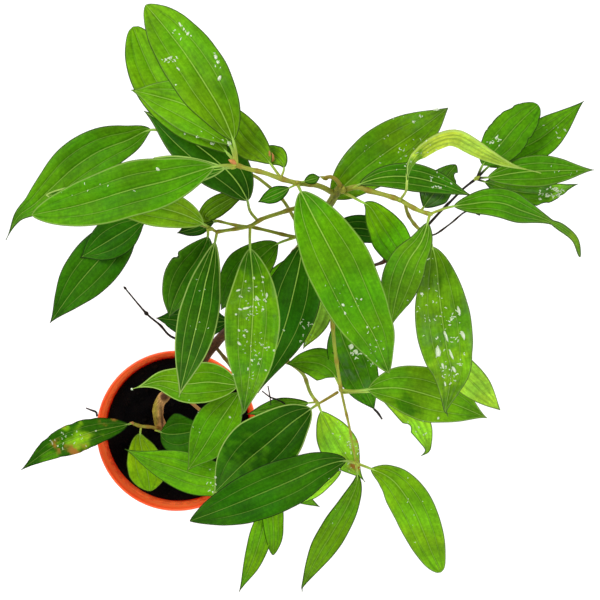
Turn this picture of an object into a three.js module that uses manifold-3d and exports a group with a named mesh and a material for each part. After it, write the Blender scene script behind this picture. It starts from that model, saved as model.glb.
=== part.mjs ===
// A young Indian bay leaf plant in a round nursery pot, in millimetres, +Z up.
// The origin is the middle of the pot's base, on the surface that the pot stands on.
// The plant leans out of its pot, so its places were read off a view from straight above:
// a leaf or a twig is a row of points, each a column and a row of that view and a height.

import * as THREE from "three";
import { mergeVertices } from "three/addons/utils/BufferGeometryUtils.js";
import Module from "manifold-3d";

const wasm = await Module();
wasm.setup();

// The pot
const RIM_DIAMETER = 130;
const POT_HEIGHT = 115;
const BASE_DIAMETER = 90;
const WALL = 1.8;
const FLOOR_THICKNESS = 2.2;
const LIP_DEPTH = 15; // how far the rolled band reaches down from the rim
const LIP_OVERHANG = 2.6;
const POT_SIDES = 40;
const DRAIN_HOLES = 6;
const DRAIN_HOLE_DIAMETER = 8;
const DRAIN_CIRCLE_RADIUS = 29;
const DRAIN_HOLE_SIDES = 10;
const FOOT_ROUNDING = 1.5;
const RIM_ROUNDING = 0.6;
const BAND_LEAN = 0.8; // the band is this much narrower at its lower edge
const BAND_STEP = 1.2; // how far the wall stands in where the band begins
const INNER_STEP = 1.4; // the inner face's slope beside the band

// The soil
const SOIL_HEIGHT = 103;
const SOIL_LUMP = 1.6;
const SOIL_SIDES = 32;
const SOIL_RINGS = [48, 36, 24, 10, 0]; // radii of the rings of the lumpy surface
const SOIL_EDGE_DROP = 1.5;

// Gap between pieces that rest against each other
const SEAT_GAP = 0.3;

// The woody stem
const STEM_BASE_RADIUS = 4.4;
const STEM_TOP_RADIUS = 2.3;
const STEM_PEG_BOTTOM = 48;
const STEM_PEG_PLACE = [163, 430];
const STEM_SIDES = 8;
const STEM_PEG_SINK = 2; // the straight part in the soil ends this far under the soil's surface
const STEM_HOLE_GAP = 0.6;
const STEM_HOLE_SIDES = 16;

// The leaves
const BLADE_THICKNESS = 0.7;
const RIB_THICKNESS = 1.4;
const STALK_RADIUS = 0.9;
const BLADE_STATIONS = [0.08, 0.24, 0.42, 0.61, 0.8, 0.93, 1]; // shares of the blade's length
const BROAD_COLUMNS = [-1, -0.5, 0, 0.5, 1]; // shares of half the blade's width
const NARROW_COLUMNS = [-1, 0, 1];
const BROAD_FROM = 22; // a blade this wide or wider has the broad columns
const WIDEST_AT = 0.42;
const BASE_FULLNESS = 0.7; // the smaller, the quicker a blade widens from its stalk
const NARROWEST = 0.45;
const DRIP = 1.25; // how finely the tip is drawn out
const PLAIN = 1.0;
const ROUNDED = 0.8;
const BLUNT = 0.65;
const STUBBY = 0.5;
const FINE = 1.8;
const DRAWN_OUT = 6;
const FOLD = 9; // degrees that each half of a blade rises from its rib
const WAVE = 1.1; // how far a blade's edge rises and falls
const WAVES = 1.5; // waves along one edge
const OTHER_EDGE = 0.3; // how far the left edge's waves are out of step with the right one's
const FULL_WAVE_FROM = 8; // half width from which an edge has its full wave
const STALK_FLAT = 0.15; // how blunt the sides of a stalk's ring are
const STEEP = 0.15; // a path more upright than this keeps the side that it had before

// The view from above: columns and rows of a square picture of 600, seen from a point over the plant
const VIEW_HEIGHT = 1100;
const VIEW_PLACE = { x: 100, y: 106 };
const VIEW_FOCUS = 1216.7;
const VIEW_MIDDLE = 300;

// Rings and sides of a twig
const TWIG_STEP = 16;
const TWIG_SIDES = 5;

const CURVE_TENSION = 0.5;
const MERGE_WITHIN = 1e-4;

// A point of the view at a height, as a place in millimetres.
function place([column, row, height]) {
  const reach = (VIEW_HEIGHT - height) / VIEW_FOCUS;
  return new THREE.Vector3(
    VIEW_PLACE.x + (column - VIEW_MIDDLE) * reach,
    VIEW_PLACE.y + (VIEW_MIDDLE - row) * reach,
    height,
  );
}

function curveThrough(points) {
  return new THREE.CatmullRomCurve3(points.map(place), false, "catmullrom", CURVE_TENSION);
}

// A closed surface as a solid.
function solidOf(geometry) {
  const bare = geometry.index ? geometry.clone() : geometry;
  bare.deleteAttribute("normal");
  bare.deleteAttribute("uv");
  const merged = mergeVertices(bare, MERGE_WITHIN);
  const corners = merged.index.array;
  const kept = [];
  for (let i = 0; i < corners.length; i += 3) {
    const [a, b, c] = [corners[i], corners[i + 1], corners[i + 2]];
    if (a !== b && b !== c && c !== a) kept.push(a, b, c);
  }
  return new wasm.Manifold(
    new wasm.Mesh({
      numProp: 3,
      vertProperties: merged.attributes.position.array,
      triVerts: new Uint32Array(kept),
    }),
  );
}

function geometryOf(solid) {
  const mesh = solid.getMesh();
  const geometry = new THREE.BufferGeometry();
  geometry.setAttribute("position", new THREE.BufferAttribute(mesh.vertProperties, 3));
  geometry.setIndex(new THREE.BufferAttribute(mesh.triVerts, 1));
  geometry.computeVertexNormals();
  return geometry;
}

// The largest body of a solid: a cut may leave a crumb on the far side.
function largestBody(solid) {
  const bodies = solid.decompose();
  return bodies.reduce((a, b) => (a.volume() > b.volume() ? a : b));
}

// Rings of points, all with the same count, joined and capped.
function solidOfRings(rings, capRing) {
  const count = rings[0].length;
  const positions = rings.flat().flatMap((p) => [p.x, p.y, p.z]);
  const triangles = [];
  for (let r = 0; r + 1 < rings.length; r++) {
    for (let j = 0; j < count; j++) {
      const k = (j + 1) % count;
      const [a, b] = [r * count + j, r * count + k];
      const [c, d] = [b + count, a + count];
      triangles.push(a, b, c, a, c, d);
    }
  }
  const last = (rings.length - 1) * count;
  for (const [a, b, c] of capRing) {
    triangles.push(a, c, b);
    triangles.push(last + a, last + b, last + c);
  }
  const geometry = new THREE.BufferGeometry();
  geometry.setAttribute("position", new THREE.BufferAttribute(new Float32Array(positions), 3));
  geometry.setIndex(triangles);
  return solidOf(geometry);
}

function fanCap(count) {
  return Array.from({ length: count - 2 }, (_, i) => [0, i + 1, i + 2]);
}

// A round twig along a row of points, from one radius to another.
function twigSolid({ path, from, to, sides = TWIG_SIDES }) {
  const curve = curveThrough(path);
  const steps = Math.max(2, Math.ceil(curve.getLength() / TWIG_STEP));
  const frames = curve.computeFrenetFrames(steps, false);
  const rings = Array.from({ length: steps + 1 }, (_, i) => {
    const middle = curve.getPointAt(i / steps);
    const radius = THREE.MathUtils.lerp(from, to, i / steps);
    return Array.from({ length: sides }, (_, j) => {
      const angle = (2 * Math.PI * j) / sides;
      return middle
        .clone()
        .addScaledVector(frames.normals[i], radius * Math.cos(angle))
        .addScaledVector(frames.binormals[i], radius * Math.sin(angle));
    });
  });
  return solidOfRings(rings, fanCap(sides));
}

// How wide a blade is at a share of its length, as a share of its greatest width.
function outline(share, tip, widest) {
  if (share < widest) return Math.sin((Math.PI / 2) * (share / widest)) ** BASE_FULLNESS;
  const past = (share - widest) / (1 - widest);
  return Math.max(0, Math.cos((Math.PI / 2) * past)) ** tip;
}

// The directions across and out of a leaf at a place on its path, turned about the path by its roll.
function leafFrame(ahead, side, degrees) {
  const turned = THREE.MathUtils.degToRad(degrees);
  const up = new THREE.Vector3().crossVectors(side, ahead).normalize();
  return {
    across: side.clone().applyAxisAngle(ahead, turned),
    out: up.applyAxisAngle(ahead, turned),
  };
}

// A ring's cap, as triangles between the upper half of the ring and the lower half.
function stripCap(columns) {
  const last = 2 * columns - 1;
  return Array.from({ length: columns - 1 }, (_, j) => [
    [j, j + 1, last - 1 - j],
    [j, last - 1 - j, last - j],
  ]).flat();
}

// A leaf along a row of points: a thin round stalk that spreads into a thin arched blade.
// Each ring runs over the upper face and back under the lower one, split alike on both.
function leafSolid({ width, path, stalk, fold = FOLD, tip = DRIP, widest = WIDEST_AT, roll = [0, 0] }) {
  const curve = curveThrough(path);
  const length = curve.getLength();
  const bladeLength = length - stalk;
  const columns = width < BROAD_FROM ? NARROW_COLUMNS : BROAD_COLUMNS;
  const stations = [0, stalk].concat(BLADE_STATIONS.map((share) => stalk + share * bladeLength));
  const slope = Math.tan(THREE.MathUtils.degToRad(fold));
  let side = new THREE.Vector3(1, 0, 0);
  const rings = stations.map((along, i) => {
    const share = Math.max(0, (along - stalk) / bladeLength);
    const middle = curve.getPointAt(Math.min(1, along / length));
    const ahead = curve.getTangentAt(Math.min(1, along / length));
    const level = new THREE.Vector3(ahead.y, -ahead.x, 0);
    if (level.length() > STEEP) side = level.normalize();
    const { across, out } = leafFrame(ahead, side, THREE.MathUtils.lerp(roll[0], roll[1], share));
    const isStalk = i < 2;
    const half = isStalk ? STALK_RADIUS : Math.max(NARROWEST, (width / 2) * outline(share, tip, widest));
    const upper = [];
    const lower = [];
    for (const column of columns) {
      const edge = Math.abs(column);
      const step = WAVES * share + (column < 0 ? OTHER_EDGE : 0);
      const ripple = WAVE * Math.sin(2 * Math.PI * step) * edge * edge * Math.min(1, half / FULL_WAVE_FROM);
      const lift = isStalk ? 0 : half * edge * slope + ripple;
      const thinness = Math.max(Math.sqrt(share), Math.min(1, 2 * edge));
      const body = isStalk
        ? STALK_RADIUS * Math.sqrt(Math.max(STALK_FLAT, 1 - edge * edge))
        : THREE.MathUtils.lerp(RIB_THICKNESS, BLADE_THICKNESS, thinness) / 2;
      const point = middle.clone().addScaledVector(across, half * column).addScaledVector(out, lift);
      upper.push(point.clone().addScaledVector(out, body));
      lower.unshift(point.clone().addScaledVector(out, -body));
    }
    return [...upper, ...lower];
  });
  return solidOfRings(rings, stripCap(columns.length));
}

// The woody stem rises out of the soil, bends over the rim and climbs to the first leafy shoots.
const STEM_PATH = [
  [163, 430, 98], [158, 415, 112], [160, 402, 125], [168, 393, 138], [182, 380, 150], [197, 366, 165],
  [210, 350, 180], [223, 335, 195], [245, 312, 225], [268, 286, 260], [292, 258, 300], [312, 232, 340],
  [326, 210, 370], [337, 192, 395], [341, 187, 401],
];

// Each leafy shoot has its twigs, which start inside the stem or a stouter twig, and its leaves.
const SHOOTS = {
  shoot_top_left: {
    twigs: [
      { from: 1.7, to: 1.2, path: [[335, 194, 392], [322, 187, 403], [310, 184, 409], [297, 183, 415],
        [279, 178, 421], [265, 173, 424], [249, 169, 426], [236, 165, 428]] },
    ],
    leaves: [
      { width: 32, stalk: 14, tip: BLUNT, path: [[237, 165, 428], [234, 143, 433], [222, 113, 439],
        [205, 84, 440], [186, 55, 434], [167, 30, 426], [146, 5, 412]] },
      { width: 28, stalk: 12, path: [[237, 165, 428], [229, 143, 426], [210, 121, 424], [185, 105, 420],
        [160, 97, 414], [131, 90, 404]] },
      { width: 28, stalk: 11, tip: STUBBY, widest: 0.55, path: [[238, 165, 427], [215, 140, 415],
        [188, 118, 408], [161, 88, 403], [146, 60, 398], [133, 27, 391]] },
      { width: 30, stalk: 13, tip: BLUNT, path: [[238, 165, 428], [213, 167, 432], [170, 180, 436],
        [130, 190, 434], [80, 205, 425], [32, 215, 410]] },
      { width: 21, stalk: 10, tip: BLUNT, path: [[240, 166, 427], [213, 170, 417], [170, 173, 409],
        [140, 181, 405], [110, 191, 401], [80, 196, 397], [46, 195, 391]] },
      { width: 20, stalk: 11, path: [[281, 178, 420], [265, 157, 414], [246, 139, 408], [232, 119, 402],
        [218, 98, 394]] },
      { width: 12, stalk: 7, fold: 24, path: [[281, 178, 420], [284, 168, 417], [280, 160, 412],
        [271, 153, 406], [262, 147, 400]] },
      { width: 37, stalk: 7, tip: ROUNDED, widest: 0.36, path: [[297, 183, 415], [303, 196, 421],
        [315, 220, 426], [325, 239, 425], [338, 264, 419], [350, 290, 411], [362, 315, 401],
        [375, 338, 389], [389, 373, 364]] },
      { width: 9, stalk: 5, path: [[297, 184, 416], [285, 190, 417], [272, 196, 414], [258, 202, 408]] },
      { width: 6, stalk: 4, path: [[299, 183, 414], [309, 180, 417], [320, 177, 412]] },
    ],
  },
  shoot_right: {
    twigs: [
      { from: 1.7, to: 1.1, path: [[337, 192, 394], [357, 187, 400], [370, 191, 402], [385, 195, 405],
        [400, 200, 408], [410, 206, 410], [420, 211, 412], [430, 214, 415]] },
      { from: 1.0, to: 0.9, path: [[405, 203, 409], [408, 214, 401], [416, 226, 393], [430, 238, 389]] },
      { from: 1.2, to: 0.8, path: [[340, 190, 397], [339, 183, 403], [332, 177, 406], [324, 178, 404]] },
    ],
    leaves: [
      { width: 15, stalk: 18, tip: FINE, widest: 0.46, roll: [70, 50], path: [[400, 200, 408],
        [407, 191, 420], [410, 181, 431], [410, 168, 442], [414, 156, 449], [424, 145, 452],
        [438, 138, 453], [453, 136, 452], [469, 142, 448], [487, 152, 440], [511, 163, 430],
        [541, 173, 418]] },
      { width: 16, stalk: 5, path: [[353, 188, 400], [365, 182, 404], [385, 177, 404], [410, 177, 402],
        [440, 184, 396], [472, 196, 384]] },
      { width: 18, stalk: 6, tip: BLUNT, path: [[421, 211, 411], [428, 201, 398], [438, 188, 384],
        [447, 176, 376], [456, 165, 368]] },
      { width: 17, stalk: 14, tip: DRAWN_OUT, widest: 0.25, path: [[430, 214, 415], [443, 209, 417],
        [455, 206, 419], [470, 204, 421], [488, 202, 421], [505, 204, 418], [520, 210, 413],
        [534, 215, 405], [549, 221, 396], [563, 229, 386], [575, 240, 374], [580, 257, 362]] },
      { width: 22, stalk: 14, path: [[343, 192, 397], [360, 201, 400], [370, 207, 399], [380, 222, 396],
        [390, 238, 388], [402, 256, 376], [415, 274, 362]] },
      { width: 26, stalk: 6, path: [[430, 214, 415], [423, 240, 415], [411, 262, 406], [400, 292, 388],
        [391, 330, 358]] },
      { width: 33, stalk: 6, path: [[429, 237, 389], [436, 262, 390], [441, 310, 386], [447, 350, 376],
        [451, 375, 368], [444, 416, 350]] },
    ],
  },
  high_leaf: {
    twigs: [],
    leaves: [
      { width: 32, stalk: 9, tip: PLAIN, path: [[326, 209, 370], [330, 201, 374], [346, 184, 384],
        [365, 168, 386], [388, 151, 384], [420, 129, 376], [448, 108, 362]] },
    ],
  },
  shoot_left: {
    twigs: [
      { from: 1.4, to: 1.0, path: [[322, 215, 362], [308, 207, 366], [296, 208, 370], [280, 213, 374],
        [262, 219, 377], [250, 226, 378], [235, 229, 375], [216, 232, 370]] },
      { from: 0.9, to: 0.8, path: [[217, 232, 370], [207, 227, 370], [190, 222, 362], [165, 216, 354],
        [150, 216, 350]] },
    ],
    leaves: [
      { width: 32, stalk: 16, path: [[258, 221, 377], [250, 211, 380], [246, 197, 387], [233, 177, 394],
        [212, 157, 398], [185, 137, 396], [144, 111, 386]] },
      { width: 34, stalk: 13, widest: 0.36, path: [[250, 226, 378], [250, 246, 377], [253, 280, 375],
        [253, 310, 366], [251, 345, 348], [249, 378, 328], [243, 417, 300]] },
      { width: 25, stalk: 6, path: [[217, 232, 370], [214, 247, 369], [210, 265, 367], [205, 285, 363],
        [200, 310, 352], [193, 340, 334], [179, 397, 290]] },
      { width: 22, stalk: 5, path: [[210, 228, 371], [198, 221, 376], [182, 214, 382], [160, 208, 386],
        [130, 204, 387], [105, 205, 386], [85, 210, 382]] },
      { width: 26, stalk: 7, path: [[208, 227, 370], [207, 240, 364], [198, 258, 356], [185, 277, 349],
        [175, 298, 338], [169, 318, 324]] },
      { width: 25, stalk: 6, path: [[152, 216, 350], [130, 228, 350], [105, 243, 345], [80, 258, 335]] },
      { width: 32, stalk: 6, path: [[152, 216, 350], [124, 234, 342], [100, 259, 336], [75, 288, 322],
        [50, 323, 302]] },
    ],
  },
  shoot_left_low: {
    twigs: [
      { from: 1.2, to: 0.8, path: [[311, 234, 338], [296, 237, 346], [265, 230, 346], [251, 227, 345],
        [235, 225, 343], [218, 221, 340]] },
    ],
    leaves: [
      { width: 13, stalk: 4, tip: BLUNT, path: [[219, 221, 340], [206, 218, 341], [210, 211, 345],
        [228, 200, 350], [245, 192, 352]] },
      { width: 11, stalk: 4, path: [[220, 221, 340], [205, 224, 337], [191, 229, 334], [177, 233, 329]] },
      { width: 28, stalk: 12, path: [[296, 237, 346], [277, 244, 348], [263, 255, 349], [247, 270, 342],
        [233, 289, 330], [221, 310, 315]] },
      { width: 36, stalk: 6, widest: 0.3, path: [[303, 236, 343], [302, 247, 345], [299, 268, 343],
        [293, 295, 334], [286, 322, 322], [276, 350, 305], [258, 393, 282]] },
    ],
  },
  shoot_top_left_low: {
    twigs: [
      { from: 1.2, to: 0.8, path: [[305, 242, 322], [296, 222, 336], [282, 199, 351], [262, 181, 365],
        [249, 173, 371], [230, 160, 376], [200, 145, 380], [170, 132, 378]] },
    ],
    leaves: [
      { width: 28, stalk: 13, tip: FINE, widest: 0.34, path: [[172, 133, 378], [150, 130, 376],
        [128, 140, 378], [100, 151, 378], [75, 167, 375], [53, 187, 369], [35, 204, 362],
        [18, 217, 352], [6, 240, 338]] },
    ],
  },
  shoot_centre: {
    twigs: [
      { from: 1.5, to: 1.1, path: [[312, 232, 340], [325, 270, 335], [331, 310, 331], [335, 350, 329],
        [341, 390, 328], [345, 408, 327], [350, 430, 325], [356, 463, 322]] },
    ],
    leaves: [
      { width: 34, stalk: 18, path: [[341, 390, 328], [355, 391, 332], [372, 389, 335], [398, 388, 337],
        [425, 394, 334], [457, 405, 326], [487, 418, 313]] },
      { width: 29, stalk: 7, tip: PLAIN, path: [[332, 314, 331], [338, 325, 324], [345, 345, 319],
        [354, 365, 315], [364, 388, 308], [374, 409, 298]] },
      { width: 21, stalk: 7, widest: 0.3, path: [[340, 386, 328], [332, 372, 322], [320, 364, 318],
        [303, 362, 315], [286, 364, 310]] },
      { width: 17, stalk: 24, widest: 0.4, path: [[342, 393, 328], [360, 392, 321], [380, 393, 315],
        [397, 401, 311], [411, 413, 307], [421, 428, 300], [427, 444, 290], [427, 451, 286],
        [421, 456, 282]] },
      { width: 16, stalk: 6, path: [[327, 283, 334], [323, 298, 324], [319, 315, 315], [312, 332, 308],
        [303, 349, 300]] },
      { width: 32, stalk: 8, tip: ROUNDED, path: [[356, 463, 322], [341, 461, 328], [318, 468, 332],
        [295, 479, 333], [262, 493, 328], [225, 508, 316], [190, 521, 298]] },
      { width: 18, stalk: 8, path: [[356, 463, 322], [357, 482, 317], [348, 505, 313], [334, 530, 304],
        [317, 558, 289], [300, 591, 268]] },
      { width: 27, stalk: 10, tip: STUBBY, widest: 0.38, path: [[356, 463, 322], [374, 470, 322],
        [387, 476, 323], [399, 487, 321], [414, 510, 317], [424, 533, 308], [432, 553, 299],
        [441, 572, 290]] },
      { width: 17, stalk: 8, path: [[317, 246, 338], [330, 236, 342], [348, 229, 344], [365, 229, 342],
        [388, 235, 336], [408, 244, 328]] },
    ],
  },
  shoot_front: {
    twigs: [
      { from: 1.5, to: 1.1, path: [[235, 322, 212], [262, 345, 245], [288, 362, 275], [303, 374, 293],
        [310, 392, 306], [318, 404, 316]] },
      { from: 0.8, to: 0.7, path: [[318, 404, 316], [330, 397, 320], [338, 392, 322]] },
    ],
    leaves: [
      { width: 42, stalk: 6, path: [[318, 404, 316], [305, 413, 321], [290, 424, 323], [268, 443, 319],
        [243, 464, 308], [213, 494, 280]] },
      { width: 26, stalk: 6, path: [[318, 404, 316], [325, 420, 315], [335, 439, 310], [347, 459, 303],
        [365, 482, 292]] },
      { width: 12, stalk: 6, path: [[317, 402, 314], [300, 404, 308], [280, 407, 299], [262, 411, 290],
        [247, 414, 280]] },
    ],
  },
  shoot_low_right: {
    twigs: [
      { from: 1.5, to: 1.0, path: [[174, 388, 142], [200, 410, 152], [225, 432, 160], [250, 455, 166],
        [270, 482, 172]] },
    ],
    leaves: [
      { width: 31, stalk: 9, path: [[257, 464, 167], [243, 474, 163], [222, 479, 159], [198, 475, 154],
        [173, 467, 148], [148, 459, 141], [125, 449, 134]] },
      { width: 17, stalk: 7, path: [[268, 481, 172], [268, 505, 184], [261, 535, 186], [252, 563, 178],
        [239, 592, 164]] },
      { width: 16, stalk: 7, tip: BLUNT, path: [[270, 481, 172], [272, 500, 190], [273, 520, 193],
        [274, 538, 188], [273, 555, 180]] },
      { width: 17, stalk: 7, tip: BLUNT, path: [[270, 482, 172], [290, 492, 186], [308, 489, 194],
        [325, 480, 198], [341, 471, 198]] },
      { width: 11, stalk: 6, path: [[269, 482, 171], [290, 492, 178], [305, 499, 179], [320, 507, 176]] },
    ],
  },
  shoot_low: {
    twigs: [
      { from: 1.4, to: 1.1, path: [[214, 345, 184], [230, 365, 190], [244, 386, 193]] },
    ],
    leaves: [
      { width: 30, stalk: 5, tip: FINE, widest: 0.3, path: [[244, 386, 193], [228, 384, 198],
        [208, 382, 202], [185, 384, 200], [160, 381, 192], [132, 389, 178]] },
      { width: 34, stalk: 6, path: [[243, 386, 193], [232, 403, 189], [217, 425, 183], [203, 448, 175],
        [187, 471, 165]] },
    ],
  },
  shoot_far_right: {
    twigs: [
      { from: 1.3, to: 0.7, path: [[291, 259, 299], [310, 266, 303], [330, 268, 306], [360, 268, 310],
        [378, 264, 313], [388, 258, 316], [405, 246, 320], [425, 228, 328], [440, 212, 334],
        [452, 200, 340], [463, 189, 345], [477, 178, 350]] },
      { from: 0.9, to: 0.8, path: [[405, 246, 320], [412, 275, 326], [425, 305, 332], [440, 332, 338]] },
      { from: 0.6, to: 0.5, path: [[425, 228, 328], [433, 235, 332], [450, 224, 338], [467, 211, 342],
        [480, 215, 344]] },
    ],
    leaves: [
      { width: 25, stalk: 10, tip: STUBBY, path: [[477, 178, 350], [484, 163, 357], [499, 146, 363],
        [517, 125, 365], [538, 105, 362]] },
      { width: 23, stalk: 10, path: [[477, 178, 350], [492, 164, 349], [515, 152, 350], [545, 135, 350],
        [584, 101, 344]] },
      { width: 19, stalk: 8, path: [[477, 178, 350], [492, 177, 357], [515, 173, 362], [540, 171, 363],
        [594, 170, 352]] },
      { width: 17, stalk: 7, path: [[476, 179, 349], [492, 184, 343], [515, 191, 339], [545, 193, 335],
        [578, 184, 328]] },
      { width: 20, stalk: 7, tip: PLAIN, path: [[440, 332, 338], [448, 352, 342], [460, 370, 343],
        [478, 388, 339], [500, 410, 330]] },
    ],
  },
  shoot_base: {
    twigs: [
      { from: 1.6, to: 1.1, path: [[162, 427, 102], [157, 428, 113], [150, 427, 119], [140, 426, 123],
        [132, 423, 127]] },
    ],
    leaves: [
      { width: 24, stalk: 5, path: [[134, 423, 127], [115, 427, 136], [95, 431, 141], [75, 438, 139],
        [50, 449, 132], [21, 470, 122]] },
      { width: 30, stalk: 5, tip: BLUNT, path: [[141, 427, 122], [140, 440, 124], [144, 458, 125],
        [148, 475, 122], [150, 491, 118]] },
      { width: 34, stalk: 6, path: [[155, 430, 115], [168, 434, 121], [185, 433, 126], [207, 427, 131]] },
    ],
  },
  small_leaf: {
    twigs: [],
    leaves: [
      { width: 14, stalk: 8, path: [[297, 251, 311], [290, 262, 317], [282, 273, 317], [273, 286, 313],
        [262, 302, 303]] },
    ],
  },
  low_leaf: {
    twigs: [],
    leaves: [
      { width: 25, stalk: 8, path: [[237, 321, 214], [215, 322, 222], [195, 322, 227], [175, 320, 227],
        [156, 318, 222]] },
    ],
  },
};

const DRY_TWIG = {
  from: 1.1,
  to: 0.7,
  path: [[214, 346, 183], [195, 343, 196], [172, 337, 204], [160, 325, 210], [146, 313, 216],
    [124, 287, 226]],
};

// Straight down from the soil's surface, so that the stem stands in a plain round hole.
function pegPath(top) {
  const [column, row] = STEM_PEG_PLACE;
  const above = place([column, row, SOIL_HEIGHT - 5]);
  return [new THREE.Vector3(above.x, above.y, STEM_PEG_BOTTOM), new THREE.Vector3(above.x, above.y, top)];
}

function pegSolid(radius, top, sides) {
  const [bottom, end] = pegPath(top);
  const peg = new THREE.CylinderGeometry(radius, radius, end.z - bottom.z, sides);
  peg.rotateX(Math.PI / 2);
  peg.translate(bottom.x, bottom.y, (bottom.z + end.z) / 2);
  return solidOf(peg);
}

function stemSolid(extra) {
  return twigSolid({
    path: STEM_PATH,
    from: STEM_BASE_RADIUS + extra,
    to: STEM_TOP_RADIUS + extra,
    sides: STEM_SIDES,
  });
}

function joined(solids) {
  return solids.reduce((a, b) => a.add(b));
}

// The pot: one turned wall with its floor and rolled lip, and drain holes round the middle of the floor.
function potSolid() {
  const [rim, base] = [RIM_DIAMETER / 2, BASE_DIAMETER / 2];
  const shoulder = rim - LIP_OVERHANG;
  const bandFoot = POT_HEIGHT - LIP_DEPTH;
  const profile = [
    [0, 0],
    [base - FOOT_ROUNDING, 0],
    [base, FOOT_ROUNDING],
    [shoulder - BAND_STEP, bandFoot],
    [rim - BAND_LEAN, bandFoot + 1],
    [rim, POT_HEIGHT - 2 * RIM_ROUNDING],
    [rim - RIM_ROUNDING, POT_HEIGHT],
    [rim - WALL, POT_HEIGHT],
    [rim - WALL - INNER_STEP, bandFoot + 3],
    [shoulder - WALL - INNER_STEP - 0.2, bandFoot - 1],
    [base - WALL, FLOOR_THICKNESS + 1],
    [base - WALL - 1, FLOOR_THICKNESS],
    [0, FLOOR_THICKNESS],
  ].map(([x, y]) => new THREE.Vector2(x, y));
  const turned = new THREE.LatheGeometry(profile, POT_SIDES);
  turned.rotateX(Math.PI / 2);
  let pot = solidOf(turned);
  for (let i = 0; i < DRAIN_HOLES; i++) {
    const angle = (2 * Math.PI * (i + 0.5)) / DRAIN_HOLES;
    const hole = new THREE.CylinderGeometry(
      DRAIN_HOLE_DIAMETER / 2, DRAIN_HOLE_DIAMETER / 2, 4 * FLOOR_THICKNESS, DRAIN_HOLE_SIDES,
    );
    hole.rotateX(Math.PI / 2);
    hole.translate(DRAIN_CIRCLE_RADIUS * Math.cos(angle), DRAIN_CIRCLE_RADIUS * Math.sin(angle), 0);
    pot = pot.subtract(solidOf(hole));
  }
  return pot;
}

// The soil fills the pot to a little below the rim, with a lumpy top and a hole for the stem.
function soilSolid() {
  const gap = SEAT_GAP + WALL;
  const [rim, base] = [RIM_DIAMETER / 2, BASE_DIAMETER / 2];
  const shoulder = rim - LIP_OVERHANG;
  const bend = POT_HEIGHT - LIP_DEPTH - 1;
  const profile = [
    [0, FLOOR_THICKNESS + SEAT_GAP],
    [base - gap - FOOT_ROUNDING, FLOOR_THICKNESS + SEAT_GAP],
    [base - gap - 0.4, FLOOR_THICKNESS + FOOT_ROUNDING],
    [shoulder - gap - INNER_STEP - 0.6, bend],
    [shoulder - gap - BAND_STEP, SOIL_HEIGHT - SOIL_EDGE_DROP],
    ...SOIL_RINGS.map((radius) => [radius, SOIL_HEIGHT]),
  ].map(([x, y]) => new THREE.Vector2(x, y));
  const turned = new THREE.LatheGeometry(profile, SOIL_SIDES);
  turned.rotateX(Math.PI / 2);
  const at = turned.attributes.position;
  for (let i = 0; i < at.count; i++) {
    if (at.getZ(i) < SOIL_HEIGHT - 0.01) continue;
    const [x, y] = [at.getX(i), at.getY(i)];
    const lump = Math.sin(x * 0.31 + 1.3) * Math.cos(y * 0.27) + 0.6 * Math.sin(x * 0.17 - y * 0.38);
    at.setZ(i, SOIL_HEIGHT + SOIL_LUMP * lump);
  }
  const hole = pegSolid(STEM_BASE_RADIUS + STEM_HOLE_GAP, SOIL_HEIGHT + 12, STEM_HOLE_SIDES);
  return solidOf(turned).subtract(hole).subtract(stemSolid(STEM_HOLE_GAP));
}

const plant = new THREE.Group();

function addPiece(name, solid, material) {
  const mesh = new THREE.Mesh(geometryOf(solid), material);
  mesh.name = name;
  plant.add(mesh);
}

function matter(color, roughness) {
  return new THREE.MeshStandardMaterial({ color, roughness, metalness: 0 });
}

const terracottaPlastic = () => matter(0xe5572b, 0.55);
const darkSoil = () => matter(0x1b1310, 1);
const bark = () => matter(0x5a4630, 0.8);
const dryBark = () => matter(0x2a211c, 0.9);
const leafGreen = () => matter(0x4d8c0c, 0.35);

addPiece("pot", potSolid(), terracottaPlastic());
addPiece("soil", soilSolid(), darkSoil());

// The stem with its straight foot, grown by some extra radius.
function wholeStem(extra) {
  return stemSolid(extra).add(pegSolid(STEM_BASE_RADIUS + extra, SOIL_HEIGHT - STEM_PEG_SINK, STEM_SIDES));
}

addPiece("stem", wholeStem(0), bark());

// What grows from the stem is cut back to a seat just clear of the stem's bark.
const stemSeat = wholeStem(SEAT_GAP);
for (const [name, shoot] of Object.entries(SHOOTS)) {
  const solids = shoot.twigs.map(twigSolid).concat(shoot.leaves.map(leafSolid));
  addPiece(name, largestBody(joined(solids).subtract(stemSeat)), leafGreen());
}
addPiece("dry_twig", largestBody(twigSolid(DRY_TWIG).subtract(stemSeat)), dryBark());

export default plant;
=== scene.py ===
import math
import random
from bisect import bisect_right

import bmesh
import bpy
from mathutils import Matrix, Vector, noise
from mathutils.bvhtree import BVHTree


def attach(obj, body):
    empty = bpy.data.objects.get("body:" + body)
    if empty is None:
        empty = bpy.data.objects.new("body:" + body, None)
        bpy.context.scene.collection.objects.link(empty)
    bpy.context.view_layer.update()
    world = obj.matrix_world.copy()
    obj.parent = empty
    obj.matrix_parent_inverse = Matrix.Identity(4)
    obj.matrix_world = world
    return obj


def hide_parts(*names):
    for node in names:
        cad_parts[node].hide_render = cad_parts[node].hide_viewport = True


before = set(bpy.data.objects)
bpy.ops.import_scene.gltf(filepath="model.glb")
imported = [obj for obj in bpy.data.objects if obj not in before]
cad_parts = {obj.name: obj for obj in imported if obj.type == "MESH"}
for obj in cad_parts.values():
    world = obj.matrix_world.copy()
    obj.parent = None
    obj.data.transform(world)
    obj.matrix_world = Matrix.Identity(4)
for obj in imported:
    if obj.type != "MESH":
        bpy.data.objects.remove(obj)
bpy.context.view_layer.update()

# A young Indian bay leaf plant that leans out of its nursery pot, seen from straight above.
# Lengths are worked out in millimetres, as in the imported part, and put into the meshes in metres.
MM = 0.001

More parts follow.
